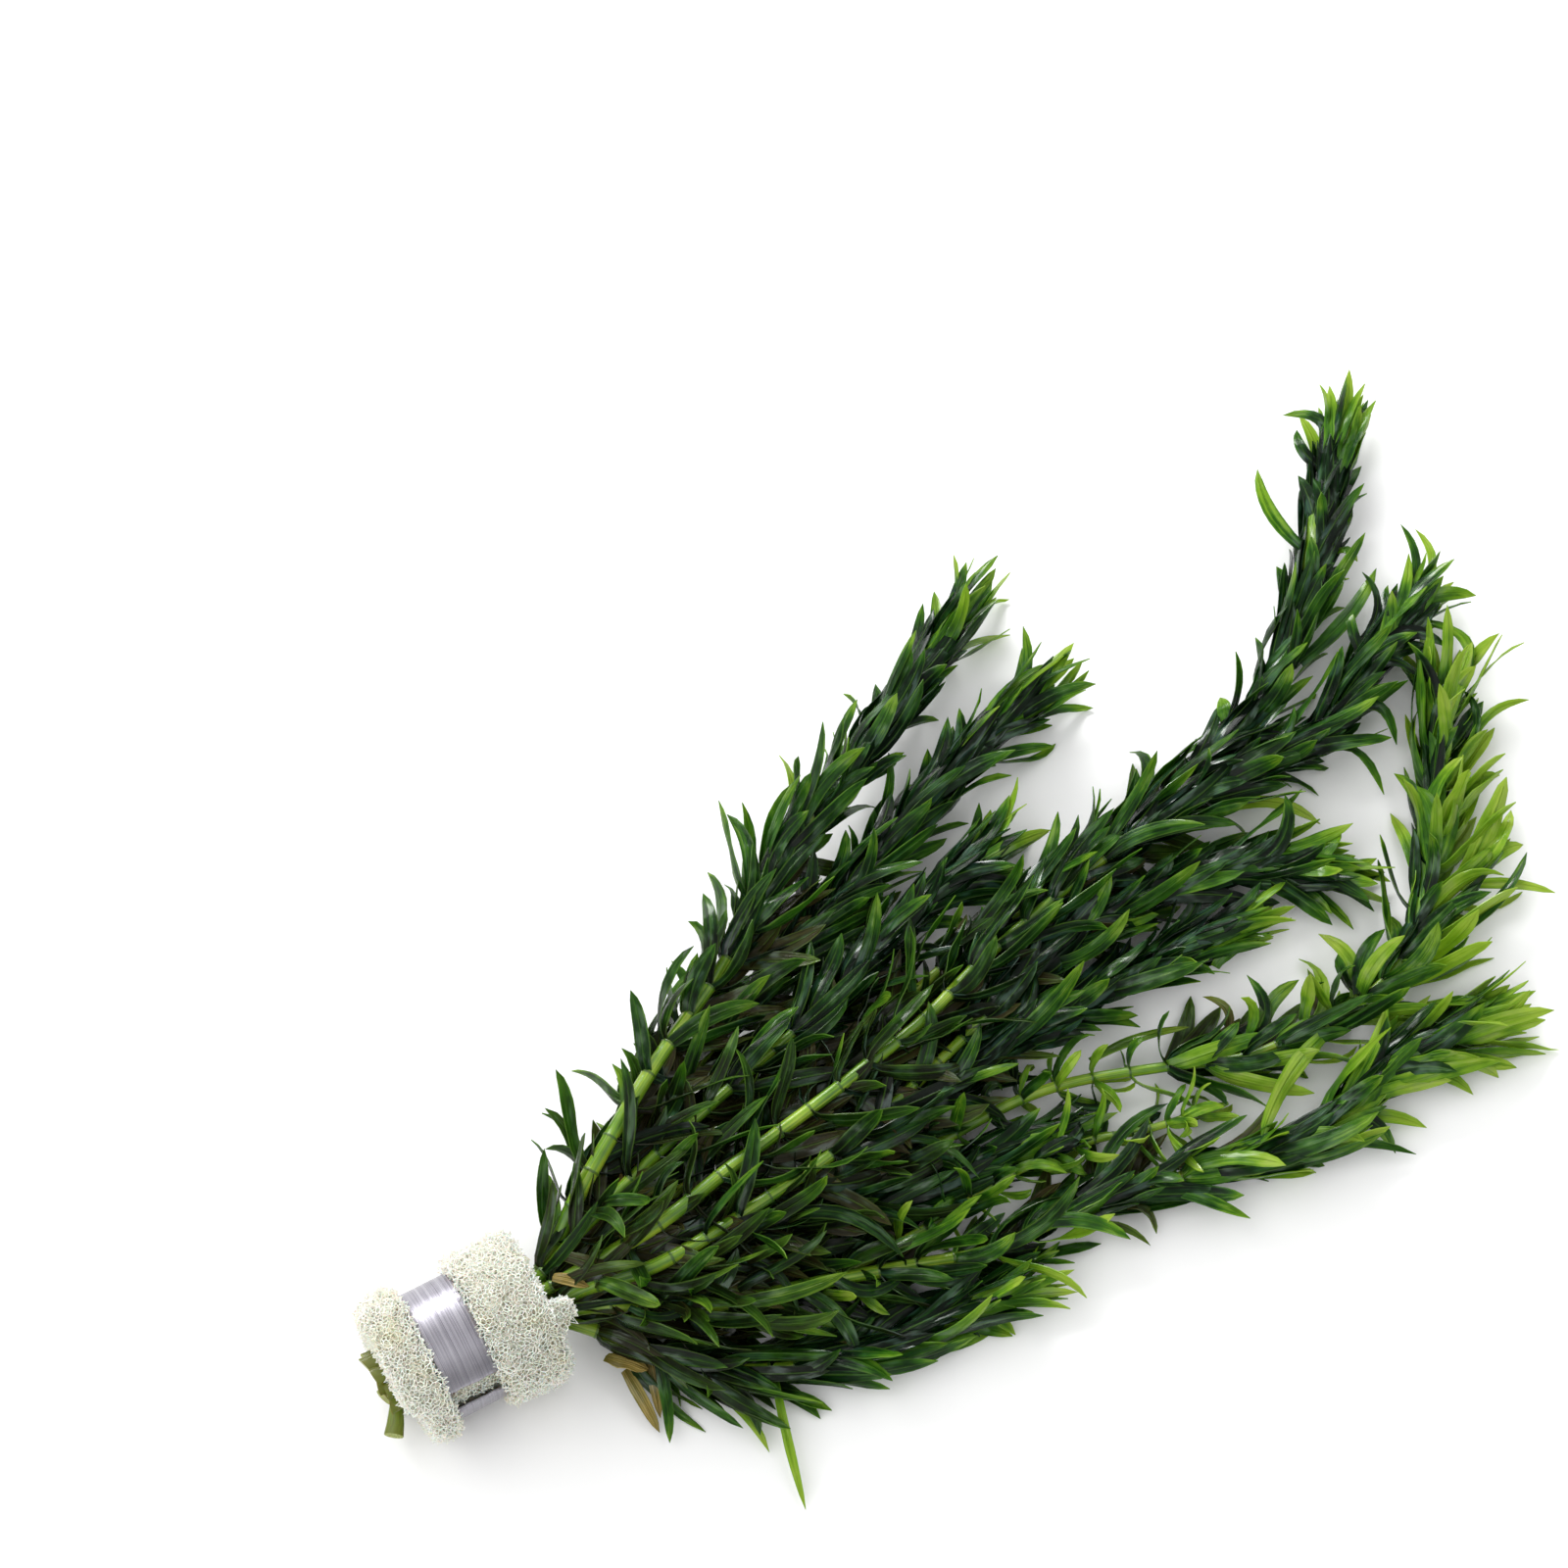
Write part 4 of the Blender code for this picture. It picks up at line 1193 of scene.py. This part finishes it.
def make_strip():
    """A flat strip bent round the sponge, a little dented, with its last end proud."""
    draw = random_for("lead strip")
    ragged = [draw.uniform(-1, 1) for _ in range(9)]
    bm = bmesh.new()
    uv = bm.loops.layers.uv.new("strip")
    ops.create_grid(bm, x_segments=8, y_segments=STRIP_STEPS, size=1)
    for face in bm.faces:
        for loop in face.loops:
            loop[uv].uv = (loop.vert.co.x / 2 + 0.5, loop.vert.co.y / 2 + 0.5)
    for vert in bm.verts:
        across, share = vert.co.x, (vert.co.y + 1) / 2
        angle = STRIP_FIRST_END + (STRIP_LAST_END - STRIP_FIRST_END) * share
        if share in (0, 1):
            angle += ragged[round((across + 1) * 4)] * 0.9
        lift = max(0, angle - STRIP_PROUD_FROM) / (STRIP_LAST_END - STRIP_PROUD_FROM)
        dent = max(0, noise.noise(Vector((across * 1.2, share * 14, 3)))) * STRIP_DENT
        radius = PINCHED_RADIUS + GAP + STRIP_PROUD * lift ** 2 + dent
        edge = noise.noise(Vector((across * 3, share * 20, 9))) * STRIP_WAVE
        vert.co = roll_point(across * STRIP_WIDTH / 2 + edge, radius, angle)
    ops.reverse_faces(bm, faces=bm.faces[:])
    ops.solidify(bm, geom=bm.faces[:], thickness=STRIP_THICK)
    face_outwards(bm)
    bm.normal_update()
    sharp = [edge for edge in bm.edges if edge.calc_face_angle(0) > radians(STRIP_SHARP)]
    ops.bevel(bm, geom=sharp, offset=STRIP_EDGE, affect="EDGES", segments=2, profile=0.5,
              material=-1)
    for face in bm.faces:
        face.smooth = True
    to_piece(bm, "lead_band", "lead", [lead_look()], "lead_strip")


def make_floor():
    bm = bmesh.new()
    ops.create_grid(bm, x_segments=4, y_segments=4, size=2.5)
    floor = add_to_scene("table_top", to_mesh(bm, "table_top", floor_look()))
    floor.location.z = -0.02 * MM


def aim(thing, place, target):
    thing.location = place
    thing.rotation_euler = (Vector(target) - Vector(place)).to_track_quat("-Z", "Y").to_euler()


def make_camera():
    heading = Vector((sin(VIEW_HEADING), cos(VIEW_HEADING), 0))
    target = TO_FRAME @ Vector(LOOK_AT)
    back = heading * cos(VIEW_ELEVATION) - Vector((0, 0, sin(VIEW_ELEVATION)))
    data = bpy.data.cameras.new("view")
    data.lens = VIEW_LENS
    data.clip_start = 0.05
    camera = add_to_scene("view", data)
    aim(camera, target - back * VIEW_DISTANCE, target)
    bpy.context.scene.camera = camera


def make_light():
    for name, heading, (distance, height), size, power in LAMPS:
        data = bpy.data.lights.new(name, "AREA")
        data.shape = "RECTANGLE"
        data.size, data.size_y = size
        data.energy = power
        turn = LIGHT_HEADING + radians(heading)
        place = Vector((sin(turn) * distance, cos(turn) * distance, height))
        aim(add_to_scene(name, data), place, (0, 0, 0))
    world = bpy.data.worlds.new("pale_room")
    world.use_nodes = True
    room = world.node_tree.nodes["Background"]
    room.inputs["Color"].default_value = (1, 1, 1, 1)
    room.inputs["Strength"].default_value = ROOM_LIGHT
    bpy.context.scene.world = world
    bpy.context.scene.view_settings.view_transform = "Standard"


make_camera()
make_light()
make_floor()
make_sponge()
make_strip()
make_plants()
